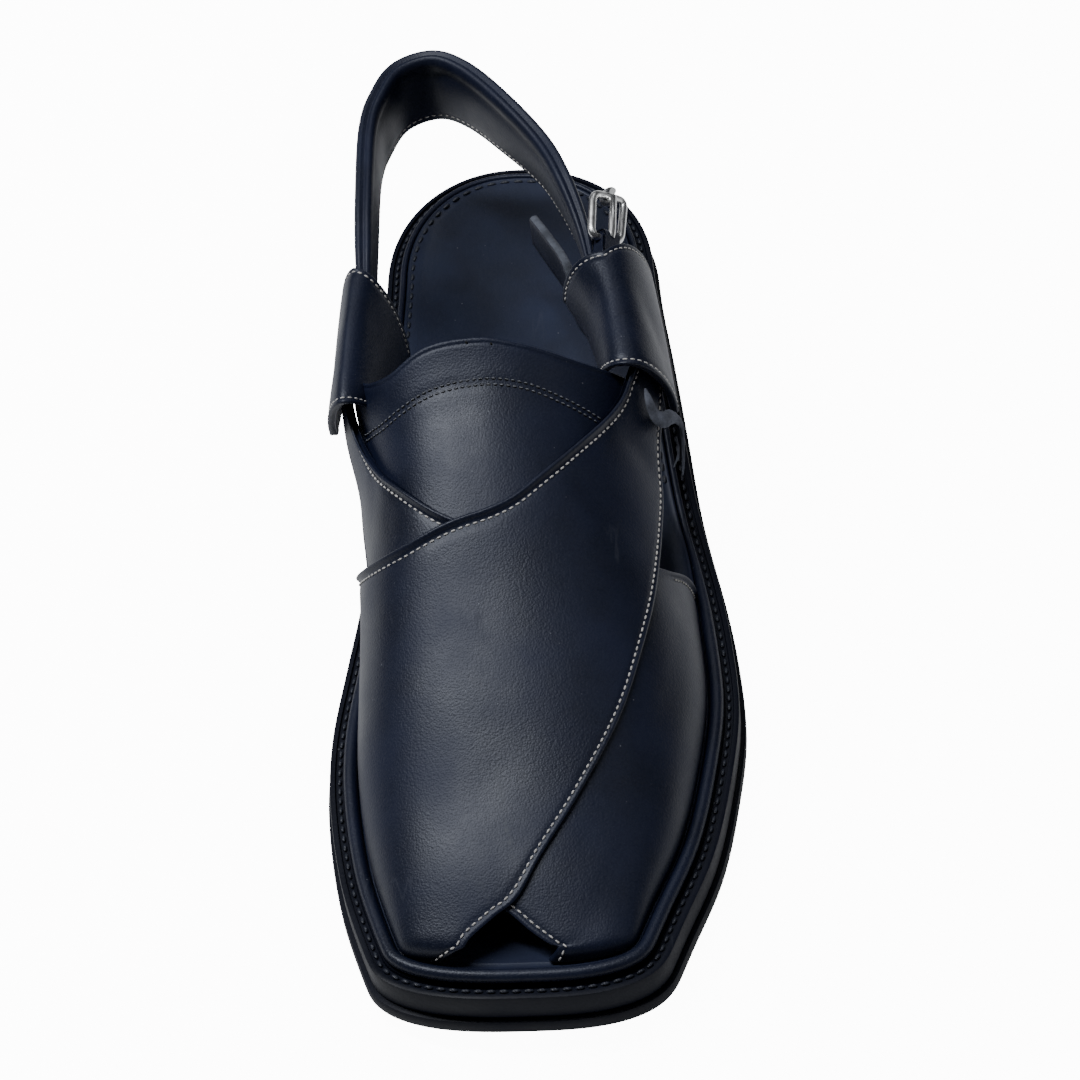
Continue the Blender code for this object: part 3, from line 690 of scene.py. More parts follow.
seat_row = ring(seat_inset, lambda along: footbed_top(along) - SEAT_GROOVE_DEPTH * 0.5)
seat_row = [spot for spot in seat_row[len(seat_row) // 2:] + seat_row[:len(seat_row) // 2]
            if HEEL_CENTRE - spot.y < SEAT_ROW_END * LENGTH]
toe_edge = [spot for spot in ring(feather_inset, lambda along: footbed_top(along) + TOE_EDGE_STITCH[2])
            if HEEL_CENTRE - spot.y > TOE_EDGE_START * LENGTH]
for name, row, pitch, size, thread in (
    ("toe_edge_stitches", toe_edge, TOE_EDGE_PITCH, TOE_EDGE_STITCH, GREY_THREAD),
    ("heel_seat_stitches", seat_row, SEAT_PITCH, SEAT_STITCH, NAVY_THREAD),
):
    sewn(name, [[(spot, UP) for spot in row]], pitch, size, thread, "navy_leather")

# Upper: two wide full-grain panels that cross over the instep and are sewn together there. The under panel is
# lasted on the lateral side, the over panel on the medial one; top edges are turned over a cord and stitched.
UPPER_SQUARENESS = 2.1
CREST_SQUARENESS = 2.0
BULGE_END = 0.7232
BULGE_RUN = 0.2
BULGE_RISE = 0.35
SIDE_BULGE = 0.006
FINE = 0.004
PANEL_THICKNESS = 0.0020
OVERLAY_STEP = 0.0016
DRAPE_SHARE = 0.15
PANEL_ROWS = 84
EDGE_COLUMNS = (0.0, 0.004, 0.009, 0.014, 0.019, 0.023, 0.027, 0.032, 0.040, 0.052, 0.070)
MIDDLE_COLUMNS = 26
TURNED_WIDTH = 0.0019
TURNED_HEIGHT = 0.0009
SEAM_INSET = 0.0029
CUT_SEAM_INSET = 0.0020
ROLL_START = 0.18
SEAM_DEPTH = 0.00034
SEAM_WIDTH = 0.0006
CUT_ROUND = 0.0008
CREASE_END = 0.25
CREASE_FADE = 0.05
PANEL_PITCH = 0.0020
PANEL_STITCH = (0.00135, 0.00027, 0.00028)

# Outer surface of the upper. Columns: along (share of length), crest height over the footbed (share of
# instep height), crest x, medial and lateral spread past the feather line (shares of ball width), and the
# fullness of the medial and lateral quarter of each section
LAST = (
    (0.2687, 1.22, -0.060, 0.090, 0.055, 3.0, 2.1),
    (0.3576, 1.04, -0.064, 0.090, 0.062, 3.0, 2.1),
    (0.4466, 0.84, -0.066, 0.058, 0.055, 3.0, 2.1),
    (0.5059, 0.75, -0.066, 0.012, 0.015, 2.9, 2.1),
    (0.5553, 0.68, -0.066, 0.000, 0.000, 2.7, 2.1),
    (0.6047, 0.605, -0.064, 0.000, 0.000, 2.6, 2.1),
    (0.6739, 0.500, -0.058, 0.000, 0.000, 2.5, 2.15),
    (0.7529, 0.395, -0.050, 0.000, 0.000, 2.4, 2.2),
    (0.832, 0.285, -0.046, 0.000, 0.000, 2.35, 2.3),
    (0.9012, 0.190, -0.044, 0.000, 0.000, 2.4, 2.4),
    (0.9456, 0.110, -0.044, 0.000, 0.000, 2.5, 2.5),
    (0.9852, 0.030, -0.044, 0.000, 0.000, 2.8, 2.8),
)

# Edges of the panels on that surface. Columns: along (share of length), around (0 at the lateral bead, 1 at
# the medial one). Anchor edges run from the rear to the toe, the others away from the anchor
OVER_ANCHOR = ((0.5405, 1.0), (0.6442, 1.0), (0.7529, 1.0), (0.8616, 1.0), (0.9308, 1.0), (0.9612, 1.0))
OVER_REAR = (
    (0.5405, 1.00),
    (0.5829, 0.89),
    (0.6077, 0.78),
    (0.6165, 0.66),
    (0.6077, 0.54),
    (0.5928, 0.458),
    (0.5652, 0.396),
    (0.5355, 0.342),
    (0.4999, 0.287),
    (0.4742, 0.258),
    (0.4466, 0.238),
    (0.412, 0.205),
)
OVER_FRONT = (
    (0.9612, 1.00),
    (0.9615, 0.77),
    (0.9565, 0.604),
    (0.9308, 0.492),
    (0.8893, 0.433),
    (0.8379, 0.367),
    (0.7687, 0.292),
    (0.6976, 0.246),
    (0.6205, 0.192),
    (0.5405, 0.152),
    (0.4762, 0.160),
    (0.4268, 0.152),
)
UNDER_ANCHOR = ((0.5602, 0.0), (0.6541, 0.0), (0.7529, 0.0), (0.8616, 0.0), (0.9308, 0.0), (0.9652, 0.0))
UNDER_REAR = (
    (0.5602, 0.00),
    (0.579, 0.071),
    (0.6067, 0.163),
    (0.6264, 0.29),
    (0.6245, 0.42),
    (0.6047, 0.529),
    (0.577, 0.625),
    (0.5316, 0.745),
    (0.493, 0.806),
    (0.4564, 0.828),
    (0.416, 0.841),
)
UNDER_FRONT = (
    (0.9652, 0.00),
    (0.9634, 0.26),
    (0.9565, 0.415),
    (0.9348, 0.492),
    (0.8863, 0.575),
    (0.8221, 0.655),
    (0.743, 0.725),
    (0.6541, 0.800),
    (0.5652, 0.880),
    (0.4861, 0.905),
    (0.4268, 0.890),
)

# Soft creases where the leather bends. Columns: along and around of both ends (shares), half width and
# depth (m); a negative depth is a ridge
OVER_CREASES = (
    (0.640, 0.30, 0.655, 0.62, 0.0060, 0.00010),
    (0.700, 0.34, 0.720, 0.66, 0.0080, 0.00010),
    (0.790, 0.46, 0.860, 0.58, 0.0040, 0.00010),
    (0.600, 0.22, 0.560, 0.36, 0.0045, 0.00035),
    (0.520, 0.18, 0.495, 0.26, 0.0040, 0.00040),
    (0.620, 0.86, 0.700, 0.80, 0.0060, 0.00018),
)
UNDER_CREASES = (
    (0.700, 0.10, 0.760, 0.20, 0.0060, 0.00035),
    (0.840, 0.30, 0.900, 0.36, 0.0050, 0.00025),
    (0.640, 0.08, 0.655, 0.17, 0.0040, -0.00030),
    (0.545, 0.78, 0.500, 0.74, 0.0040, 0.00040),
    (0.600, 0.72, 0.560, 0.70, 0.0045, 0.00030),
)


def curve_through(rows, shares):
    """Points on a smooth curve through a table's rows, at shares of the way along it."""
    points = [Vector(row) for row in rows]
    result = []
    for share in shares:
        place = share * (len(points) - 1)
        index = min(int(place), len(points) - 2)
        here, there = points[index], points[index + 1]
        before, after = points[max(index - 1, 0)], points[min(index + 2, len(points) - 1)]
        result.append(Vector([
            hermite(here[k], there[k], (there[k] - before[k]) / 2, (after[k] - here[k]) / 2, place - index)
            for k in range(len(here))
        ]))
    return result


def corner_share(place, start, length, squareness):
    """How much of the half width is left at a place inside a rounded end."""
    t = min(max((place - start) / length, 0.0), 1.0)
    return (1 - t ** squareness) ** (1 / squareness)


def outline_width(along_share, column):
    return read(OUTLINE, column, along_share) * BALL_WIDTH


def reach(along_share, column):
    """Half width of the upper's base: it follows the bead and spreads past it behind the lasted part."""
    along = along_share * LENGTH
    widening = outline_width(along_share + FINE, column) - outline_width(along_share - FINE, column)
    inset = (feather_inset(along) + GAP) * hypot(1, widening / (2 * FINE * LENGTH))
    spread = read(LAST, 2 + column, along_share) * BALL_WIDTH
    corner = corner_share(along, LENGTH - TOE_ROUND, TOE_ROUND - inset, UPPER_SQUARENESS)
    return (outline_width(along_share, column) + spread - inset) * corner


def last_point(along_share, around):
    """A point of the upper's outer surface."""
    along = along_share * LENGTH
    across, up = cos(pi * around), max(sin(pi * around), 0.0)
    lateral = across > 0
    side = 1 if lateral else -1
    fullness = read(LAST, 6 if lateral else 5, along_share)
    width = reach(along_share, 2 if lateral else 1)
    crest_x = read(LAST, 2, along_share) * BALL_WIDTH
    crest_x *= corner_share(along, LENGTH - TOE_ROUND, TOE_ROUND, CREST_SQUARENESS)
    bulge = 0.0
    if not lateral:
        bulge = SIDE_BULGE * ease((BULGE_END - along_share) / BULGE_RUN) * ease(up / BULGE_RISE) * -across
    x = crest_x + side * ((width - side * crest_x) * abs(across) ** (2 / fullness) + bulge)
    height = read(LAST, 1, along_share) * INSTEP_HEIGHT * up ** (2 / fullness)
    return Vector((x, HEEL_CENTRE - along - toe_slant(along, x), footbed_top(along) + GAP + height))


def last_normal(along_share, around):
    """The outward normal of the upper's outer surface."""
    around = min(max(around, FINE), 1 - FINE)
    forward = last_point(along_share + FINE, around) - last_point(along_share - FINE, around)
    across = last_point(along_share, around + FINE) - last_point(along_share, around - FINE)
    return across.cross(forward).normalized()


def patch(rear, front, anchor, end, long_shares, wide_shares):
    """Places on the last inside four edges: rear and front start at the ends of the anchor."""
    rear, front = curve_through(rear, long_shares), curve_through(front, long_shares)
    anchor, end = curve_through(anchor, wide_shares), curve_through(end, wide_shares)
    rows = []
    for i, u in enumerate(long_shares):
        row = []
        for j, v in enumerate(wide_shares):
            place = rear[i].lerp(front[i], v) + anchor[j].lerp(end[j], u)
            place -= anchor[0].lerp(anchor[-1], v).lerp(end[0].lerp(end[-1], v), u)
            row.append((place.x, place.y, u))
        rows.append(row)
    return rows


def creased(spot, creases):
    """How far the creases push a place of the leather in."""
    sunk = 0.0
    for start, end, width, depth in creases:
        run = end - start
        share = min(max((spot - start).dot(run) / run.length_squared, 0.0), 1.0)
        apart = (spot - start - run * share).length / width
        middle = sin(pi * min(max(share, CREASE_FADE), 1 - CREASE_FADE))
        sunk += depth * exp(-apart * apart) * (CREASE_END + (1 - CREASE_END) * middle)
    return sunk


def pulled_in(from_seam, depth=SEAM_DEPTH, width=SEAM_WIDTH):
    """How far a seam pulls the leather in beside it."""
    return depth * exp(-(from_seam / width) ** 2)


def rounded_off(from_edge, depth):
    """How far a cut edge is rounded off."""
    return depth * max(1 - from_edge / CUT_ROUND, 0.0) ** 2


def turned_edge(from_edge):
    """The edge turned over a cord, with the seam pulled in behind it."""
    roll = 0.0
    if from_edge < TURNED_WIDTH:
        roll = TURNED_HEIGHT * sin(pi * (ROLL_START + (1 - ROLL_START) * from_edge / TURNED_WIDTH))
    return roll - pulled_in(from_edge - SEAM_INSET)


def cut_edge(from_edge):
    """The plain cut edge, rounded off, with the seam pulled in behind it."""
    return -rounded_off(from_edge, SEAM_DEPTH) - pulled_in(from_edge - CUT_SEAM_INSET)


def laid(rows, drop, first_edge, last_edge, creases):
    """Outer face of a sheet as places with normals: both long edges shaped, creases pressed in."""
    bends = [(last_point(a, b), last_point(c, d), width, depth) for a, b, c, d, width, depth in creases]
    places = []
    for row in rows:
        base = [last_point(along, around) for along, around, _ in row]
        normals = [last_normal(along, around) for along, around, _ in row]
        gone, lengths = 0.0, [0.0]
        for here, there in zip(base, base[1:]):
            gone += (there - here).length
            lengths.append(gone)
        line = []
        for spot, normal, length, (_, _, u) in zip(base, normals, lengths, row):
            raised = first_edge(length) + last_edge(gone - length) - drop(u) - creased(spot, bends)
            line.append((spot + normal * raised, normal))
        places.append(line)
    return places


def leather_sheet(name, places, thickness, finish, *replaced):
    """A grid of faces laid on its places and given its thickness inwards."""
    work = bmesh.new()
    rows, columns = len(places), len(places[0])
    bmesh.ops.create_grid(work, x_segments=columns - 1, y_segments=rows - 1, size=0.5)
    for vertex in work.verts:
        row = round((vertex.co.y + 0.5) * (rows - 1))
        column = round((vertex.co.x + 0.5) * (columns - 1))
        spot, _ = places[row][column]
        vertex.co = spot
    work.normal_update()
    outward = places[rows // 2][columns // 2][1]
    work.faces.ensure_lookup_table()
    middle = work.faces[len(work.faces) // 2 + columns // 2]
    if middle.normal.dot(outward) < 0:
        bmesh.ops.reverse_faces(work, faces=work.faces)
    piece = shown(name, work, finish, "navy_leather", *replaced, sharp=pi)
    wall = piece.modifiers.new("thickness", "SOLIDIFY")
    wall.thickness = thickness
    wall.offset = -1.0
    rounding = piece.modifiers.new("rounding", "SUBSURF")
    rounding.levels = rounding.render_levels = 1
    return piece


def seam_line(rows, drop, inset, from_front, first=0.0, last=1.0):
    """The line of a seam at an inset from one long edge, between two shares of the sheet's length."""
    path = []
    for row in rows:
        if not first <= row[0][2] <= last:
            continue
        ordered = row[::-1] if from_front else row
        base = [last_point(along, around) for along, around, _ in ordered]
        gone = 0.0
        for index, (here, there) in enumerate(zip(base, base[1:])):
            step = (there - here).length
            if gone + step >= inset:
                normal = last_normal(*ordered[index][:2])
                spot = here.lerp(there, (inset - gone) / step)
                path.append((spot - normal * (drop(row[0][2]) + SEAM_DEPTH * 0.3), normal))
                break
            gone += step
    return path


# Scuffs on the over panel. Columns: along and around of both ends (shares), half width (m), strength
SCUFFS = (
    (0.8167, 0.497, 0.8450, 0.493, 0.0010, 0.55),
    (0.8600, 0.494, 0.8790, 0.486, 0.0012, 0.75),
    (0.8790, 0.486, 0.8967, 0.480, 0.0009, 0.45),
    (0.9117, 0.540, 0.9250, 0.525, 0.0016, 0.35),
    (0.9000, 0.560, 0.9180, 0.585, 0.0011, 0.25),
)


def scuff_mark():
    """A mask along a short line: strongest on the line, broken up by fine noise."""
    group, given, out = new_group(
        "scuff_mark", {"Start": (0.0, 0.0, 0.0), "End": (0.0, 0.01, 0.0), "Width": 0.001},
        {"Mask": "NodeSocketFloat"},
    )

    def between(operation, first, second):
        made = group.nodes.new("ShaderNodeVectorMath")
        made.operation = operation
        feed(group, made.inputs[0], first)
        feed(group, made.inputs[1], second)
        return made

    place = add_node(group, "ShaderNodeTexCoord").outputs["Object"]
    from_start = between("SUBTRACT", place, given.outputs["Start"]).outputs["Vector"]
    run = between("SUBTRACT", given.outputs["End"], given.outputs["Start"]).outputs["Vector"]
    gone = between("DOT_PRODUCT", from_start, run).outputs["Value"]
    share = arithmetic(group, "DIVIDE", gone, between("DOT_PRODUCT", run, run).outputs["Value"])
    nearest = group.nodes.new("ShaderNodeVectorMath")
    nearest.operation = "SCALE"
    group.links.new(run, nearest.inputs[0])
    group.links.new(curve_of(group, share, 0.0, 1.0), nearest.inputs["Scale"])
    apart = between("DISTANCE", from_start, nearest.outputs["Vector"]).outputs["Value"]
    near = curve_of(group, arithmetic(group, "DIVIDE", apart, given.outputs["Width"]), 1.0, 0.1)
    worn = add_node(group, "ShaderNodeTexNoise", None, Vector=place, Scale=900.0, Detail=4.0)
    mask = arithmetic(group, "MULTIPLY", near, curve_of(group, worn.outputs["Fac"], 0.42, 0.62))
    group.links.new(mask, out.inputs["Mask"])
    return group


def scuffed(finish, scuffs):
    """The same leather with scuffs at their places: greyer and duller."""
    finish = finish.copy()
    finish.name = "scuffed_full_grain"
    tree = finish.node_tree
    shader = tree.nodes["Principled BSDF"]
    tone = shader.inputs["Base Color"].links[0].from_socket
    rough = shader.inputs["Roughness"].links[0].from_socket
    group = scuff_mark()
    for a, b, c, d, width, strength in scuffs:
        mark = placed_group(tree, group, Start=last_point(a, b), End=last_point(c, d), Width=width)
        worn = arithmetic(tree, "MULTIPLY", mark["Mask"], strength)
        tone = blended(tree, worn, tone, (0.075, 0.080, 0.095, 1.0))
        rough = arithmetic(tree, "ADD", rough, arithmetic(tree, "MULTIPLY", worn, 0.3))
    tree.links.new(tone, shader.inputs["Base Color"])
    tree.links.new(rough, shader.inputs["Roughness"])
    return finish


long_shares = [step / PANEL_ROWS for step in range(PANEL_ROWS + 1)]
edge_end = EDGE_COLUMNS[-1]
middle_shares = [edge_end + (1 - 2 * edge_end) * step / MIDDLE_COLUMNS for step in range(1, MIDDLE_COLUMNS)]
wide_shares = list(EDGE_COLUMNS) + middle_shares + [1 - share for share in EDGE_COLUMNS[::-1]]


def over_drop(u):
    """The over panel lies on the last all the way."""
    return 0.0


def under_drop(u):
    """The under panel sinks below the over panel on its way from the anchor."""
    return OVERLAY_STEP * ease(u / DRAPE_SHARE)


over_end, under_end = (OVER_REAR[-1], OVER_FRONT[-1]), (UNDER_REAR[-1], UNDER_FRONT[-1])
over_rows = patch(OVER_REAR, OVER_FRONT, OVER_ANCHOR, over_end, long_shares, wide_shares)
under_rows = patch(UNDER_REAR, UNDER_FRONT, UNDER_ANCHOR, under_end, long_shares, wide_shares)
over_places = laid(over_rows, over_drop, turned_edge, cut_edge, OVER_CREASES)
under_places = laid(under_rows, under_drop, turned_edge, cut_edge, UNDER_CREASES)
leather_sheet("over_panel", over_places, PANEL_THICKNESS, scuffed(LEATHER, SCUFFS), "upper")
leather_sheet("under_panel", under_places, PANEL_THICKNESS, LEATHER, "upper")
sewn("panel_stitches", [
    seam_line(over_rows, over_drop, SEAM_INSET, False, 0.02),
    seam_line(over_rows, over_drop, CUT_SEAM_INSET, True, 0.01),
    seam_line(under_rows, under_drop, SEAM_INSET, False, 0.0, 0.16),
    seam_line(under_rows, under_drop, SEAM_INSET, False, 0.42),
    seam_line(under_rows, under_drop, CUT_SEAM_INSET, True, 0.01, 0.34),
], PANEL_PITCH, PANEL_STITCH, IVORY_THREAD, "navy_leather")

# Tongue: one inner sheet of the same leather with a smooth cut top edge, sewn across by a double row of
# thread and caught under both panels.
TONGUE_THICKNESS = 0.0018
TONGUE_ROWS = 40
TONGUE_COLUMNS = 44
TONGUE_PITCH = 0.0017
TONGUE_STITCH = (0.0010, 0.00017, 0.00022)
NEEDLE_HOLE = (0.00120, 0.00042, 0.00018)
TONGUE_EDGE_LINE = 0.0016
LINE_DEPTH = 0.00022
LINE_WIDTH = 0.0003
TONGUE_ROUND = 0.00035
EDGE_FINE_END = 0.03
HOLE_SINK = 0.00015
ROW_WIDTH = 0.0007
TONGUE_TOP = (
    (0.4400, 0.20),
    (0.4560, 0.313),
    (0.4560, 0.416),
    (0.4530, 0.484),
    (0.4560, 0.560),
    (0.4640, 0.660),
    (0.4560, 0.740),
    (0.4400, 0.795),
    (0.4180, 0.850),
)
TONGUE_FRONT = ((0.6442, 0.27), (0.6541, 0.38), (0.659, 0.50), (0.6541, 0.66), (0.6100, 0.820))

# The double row on the last. Columns: along, around (shares)
TONGUE_SEAM = (
    (0.4800, 0.822),
    (0.4870, 0.790),
    (0.4955, 0.725),
    (0.4967, 0.645),
    (0.4910, 0.545),
    (0.4870, 0.480),
    (0.4885, 0.415),
    (0.4933, 0.350),
    (0.4967, 0.280),
    (0.4967, 0.250),
)
TONGUE_SEAM_STEPS = 80
TONGUE_SEAM_APART = 0.0015
PINHOLES = ((0.4567, 0.500), (0.4583, 0.465))
PINHOLE_RADIUS = 0.00035


def tongue_drop(u):
    """The tongue lies under both panels."""
    return OVERLAY_STEP + PANEL_THICKNESS + GAP


def plain_edge(from_edge):
    """An edge that is out of sight."""
    return 0.0


def tongue_edge(from_edge):
    """The cut edge, rounded off, with the faint line of the lining's edge behind it."""
    line = pulled_in(from_edge - TONGUE_EDGE_LINE, LINE_DEPTH, LINE_WIDTH)
    return -rounded_off(from_edge, TONGUE_ROUND) - line


tongue_sides = ((TONGUE_TOP[0], TONGUE_FRONT[0]), (TONGUE_TOP[-1], TONGUE_FRONT[-1]))
tongue_long = [step / TONGUE_ROWS for step in range(TONGUE_ROWS + 1)]
tongue_wide = [share * 2 for share in EDGE_COLUMNS if share < EDGE_FINE_END]
fine_end = tongue_wide[-1]
tongue_wide += [fine_end + (1 - fine_end) * step / TONGUE_COLUMNS for step in range(1, TONGUE_COLUMNS + 1)]
tongue_rows = patch(TONGUE_TOP, TONGUE_FRONT, *tongue_sides, tongue_long, tongue_wide)
tongue_places = laid(tongue_rows, tongue_drop, tongue_edge, plain_edge, ())
seam_places = curve_through(TONGUE_SEAM, [step / TONGUE_SEAM_STEPS for step in range(TONGUE_SEAM_STEPS + 1)])
seam_rows = []
for side in (-0.5, 0.5):
    shift = side * TONGUE_SEAM_APART / LENGTH
    row = []
    for along, around in seam_places:
        normal = last_normal(along, around)
        row.append((last_point(along + shift, around) - normal * (tongue_drop(0) + HOLE_SINK), normal))
    seam_rows.append(row)
for line in tongue_places:
    for index, (spot, normal) in enumerate(line):
        apart = min((spot - there).length for row in seam_rows for there, _ in row)
        line[index] = (spot - normal * pulled_in(apart, width=ROW_WIDTH), normal)
# Needle holes: near-black beads set along the double row, painted shade that stands in for the dark inside of
# each hole.
NEEDLE_HOLE_SHADE = twisted_thread("needle_hole_shade", (0.0012, 0.0014, 0.0022), 0.9)
leather_sheet("tongue_sheet", tongue_places, TONGUE_THICKNESS, LEATHER, "tongue")
sewn("tongue_needle_hole_shade", seam_rows, TONGUE_PITCH, NEEDLE_HOLE, NEEDLE_HOLE_SHADE, "navy_leather")
thread_rows = [[(spot + normal * TONGUE_STITCH[2], normal) for spot, normal in row[1:]] for row in seam_rows]
sewn("tongue_stitches", thread_rows, TONGUE_PITCH, TONGUE_STITCH, GREY_THREAD, "navy_leather")
# Pinholes: near-black balls in the same finish, painted shade that stands in for the dark inside of the
# holes.
work = bmesh.new()
for place in PINHOLES:
    spot = last_point(*place) - last_normal(*place) * tongue_drop(0)
    bmesh.ops.create_icosphere(work, subdivisions=2, radius=PINHOLE_RADIUS, matrix=Matrix.Translation(spot))
shown("tongue_pinhole_shade", work, NEEDLE_HOLE_SHADE, "navy_leather", sharp=pi)

# Keepers: at each ankle a leather sheet folded over the panel's end like a saddle, sewn along both rims. The
# heel strap's ends pass between its two legs.
KEEPER_THICKNESS = 0.0022
KEEPER_ROWS = 44
KEEPER_INNER = 18
KEEPER_OUTER = 26
KEEPER_SEAM = 0.0019
KEEPER_PITCH = 0.0020

# Rear to front. Each row holds the inner hem, the ridge of the fold and the outer hem, each as along (share
# of length), x (share of ball width), z (share of instep height)
LATERAL_KEEPER = (
    ((0.3201, 0.150, 0.690), (0.323, 0.267, 0.916), (0.2835, 0.380, 0.600)),
    ((0.3626, 0.205, 0.665), (0.3774, 0.287, 0.885), (0.3527, 0.402, 0.560)),
    ((0.4300, 0.240, 0.720), (0.4530, 0.304, 0.850), (0.4400, 0.422, 0.560)),
)
MEDIAL_KEEPER = (
    ((0.3349, -0.236, 0.545), (0.3191, -0.339, 0.916), (0.3082, -0.405, 0.560)),
    ((0.3823, -0.262, 0.560), (0.3880, -0.358, 0.888), (0.3774, -0.420, 0.545)),
    ((0.4367, -0.300, 0.620), (0.4720, -0.372, 0.842), (0.4350, -0.436, 0.560)),
)

# Creases of the keepers. Columns: share along the keeper and across it for both ends, half width, depth (m)
KEEPER_CREASES = (
    (0.12, 0.30, 0.62, 0.22, 0.0030, 0.00030),
    (0.35, 0.62, 0.80, 0.80, 0.0040, 0.00035),
    (0.70, 0.42, 0.92, 0.52, 0.0030, -0.00025),
)


def to_world(along_share, x_share, z_share):
    """A place given in shares of the shoe's sizes."""
    return Vector((x_share * BALL_WIDTH, HEEL_CENTRE - along_share * LENGTH, z_share * INSTEP_HEIGHT))


def keeper_places(rows):
    """Outer face of a keeper with its normals: each leg is a quarter ellipse from the ridge to its hem.

    Towards the front rim the legs leave the ridge straight down, so that the rim is a smooth arch."""
    side = 1 if rows[0][1][1] > 0 else -1
    base = []
    shares = [step / KEEPER_ROWS for step in range(KEEPER_ROWS + 1)]
    for share, row in zip(shares, curve_through([sum(row, ()) for row in rows], shares)):
        inner_hem, ridge, outer_hem = to_world(*row[:3]), to_world(*row[3:6]), to_world(*row[6:])
        legs = []
        for hem, steps in ((inner_hem, KEEPER_INNER), (outer_hem, KEEPER_OUTER)):
            reached = hem - ridge
            leg = []
            for angle in (pi / 2 * step / steps for step in range(steps + 1)):
                swing = sin(angle) + (1 - cos(angle) - sin(angle)) * ease(share)
                fall = 1 - cos(angle)
                leg.append(ridge + Vector((reached.x * sin(angle), reached.y * swing, reached.z * fall)))
            legs.append(leg)
        base.append(legs[0][::-1] + legs[1][1:])
    last_row, last_column = len(base) - 1, len(base[0]) - 1

    def at(along, across):
        return base[round(along * last_row)][round(across * last_column)]

    bends = [(at(a, b), at(c, d), width, depth) for a, b, c, d, width, depth in KEEPER_CREASES]
    places = []
    for i, row in enumerate(base):
        line = []
        for j, spot in enumerate(row):
            along = base[min(i + 1, last_row)][j] - base[max(i - 1, 0)][j]
            across = row[min(j + 1, last_column)] - row[max(j - 1, 0)]
            normal = (side * along.cross(across)).normalized()
            from_rim = min((spot - base[0][j]).length, (spot - base[-1][j]).length)
            line.append((spot + normal * (cut_edge(from_rim) - creased(spot, bends)), normal))
        places.append(line)
    return places


def rim_seam(places, inset, from_front):
    """A seam at an inset from a keeper's rear or front rim."""
    rows = places[::-1] if from_front else places
    path = []
    for column in range(1, len(rows[0]) - 1):
        gone = 0.0
        for here, there in zip(rows, rows[1:]):
            step = (there[column][0] - here[column][0]).length
            if gone + step >= inset:
                path.append((here[column][0].lerp(there[column][0], (inset - gone) / step), here[column][1]))
                break
            gone += step
    return path


keeper_seams = []
for name, rows in (("lateral_keeper", LATERAL_KEEPER), ("medial_keeper", MEDIAL_KEEPER)):
    places = keeper_places(rows)
    leather_sheet(name + "_saddle", places, KEEPER_THICKNESS, LEATHER, name)
    keeper_seams += [rim_seam(places, KEEPER_SEAM, False), rim_seam(places, KEEPER_SEAM, True)]
sewn("keeper_stitches", keeper_seams, KEEPER_PITCH, PANEL_STITCH, IVORY_THREAD, "navy_leather")

# Heel strap: a padded band of two leathers turned over twin cords along its top rim and gathered under the
# rim on the lining side. It is sewn along its lower edge, and its ends are held by the keepers.
STRAP_THICKNESS = 0.0046
STRAP_RIM_RADIUS = 0.0025
STRAP_STEPS = 150
STRAP_PITCH = 0.0020
GATHER_DEPTH = 0.00045
GATHER_PITCH = 0.0052
GATHER_REACH = 0.0085
STRAP_SHARP_ANGLE = radians(60)
NECK_DROP = 2.1
LOW_SEAM = 0.87
LOW_SEAM_SWELL = 0.72

# Columns: along (share of length), x (share of ball width), top and bottom z (shares of instep height),
# fullness
HEEL_STRAP = (
    (0.3527, -0.338, 0.775, 0.620, 0.60),
    (0.3181, -0.334, 0.815, 0.630, 0.75),
    (0.2786, -0.331, 0.880, 0.640, 0.95),
    (0.2252, -0.328, 0.930, 0.652, 1.00),
    (0.1353, -0.321, 0.960, 0.668, 1.00),
    (0.0950, -0.291, 0.985, 0.688, 1.00),
    (0.0650, -0.241, 1.000, 0.708, 1.00),
    (0.0555, -0.150, 1.008, 0.720, 1.00),
    (0.0745, -0.069, 1.008, 0.725, 1.00),
    (0.1205, 0.026, 1.000, 0.733, 1.00),
    (0.1775, 0.123, 0.975, 0.752, 1.00),
    (0.2255, 0.175, 0.950, 0.762, 0.95),
    (0.2707, 0.212, 0.890, 0.762, 0.80),
    (0.3120, 0.230, 0.845, 0.745, 0.55),
    (0.3450, 0.243, 0.815, 0.735, 0.45),
)

# Section of the strap's rim from its outer foot over the two cords to its inner foot. Columns: sideways and
# down from the top, in shares of the rim's radius
RIM_PROFILE = (
    (0.80, 1.95),
    (1.02, 1.45),
    (1.05, 0.95),
    (0.90, 0.42),
    (0.60, 0.08),
    (0.30, 0.10),
    (0.06, 0.42),
    (-0.06, 0.42),
    (-0.30, 0.10),
    (-0.60, 0.08),
    (-0.90, 0.42),
    (-1.05, 0.95),
    (-1.02, 1.45),
    (-0.80, 1.95),
)

# Sides of the band below the rim. Columns: down from the neck to the lower edge (share), swell (share of half
# the thickness)
BAND_PROFILE = (
    (0.03, 0.86), (0.10, 0.98), (0.2, 1.06), (0.32, 1.10), (0.5, 1.08), (0.68, 1.0),
    (0.80, 0.88), (0.87, 0.72), (0.93, 0.74), (0.98, 0.55), (1.0, 0.25),
)


def side_of(path, index):
    """The level direction across an upright strap at one place of its path."""
    before, after = path[max(index - 1, 0)], path[min(index + 1, len(path) - 1)]
    run = (to_world(after[0], after[1], 0) - to_world(before[0], before[1], 0)).normalized()
    return Vector((run.y, -run.x, 0))


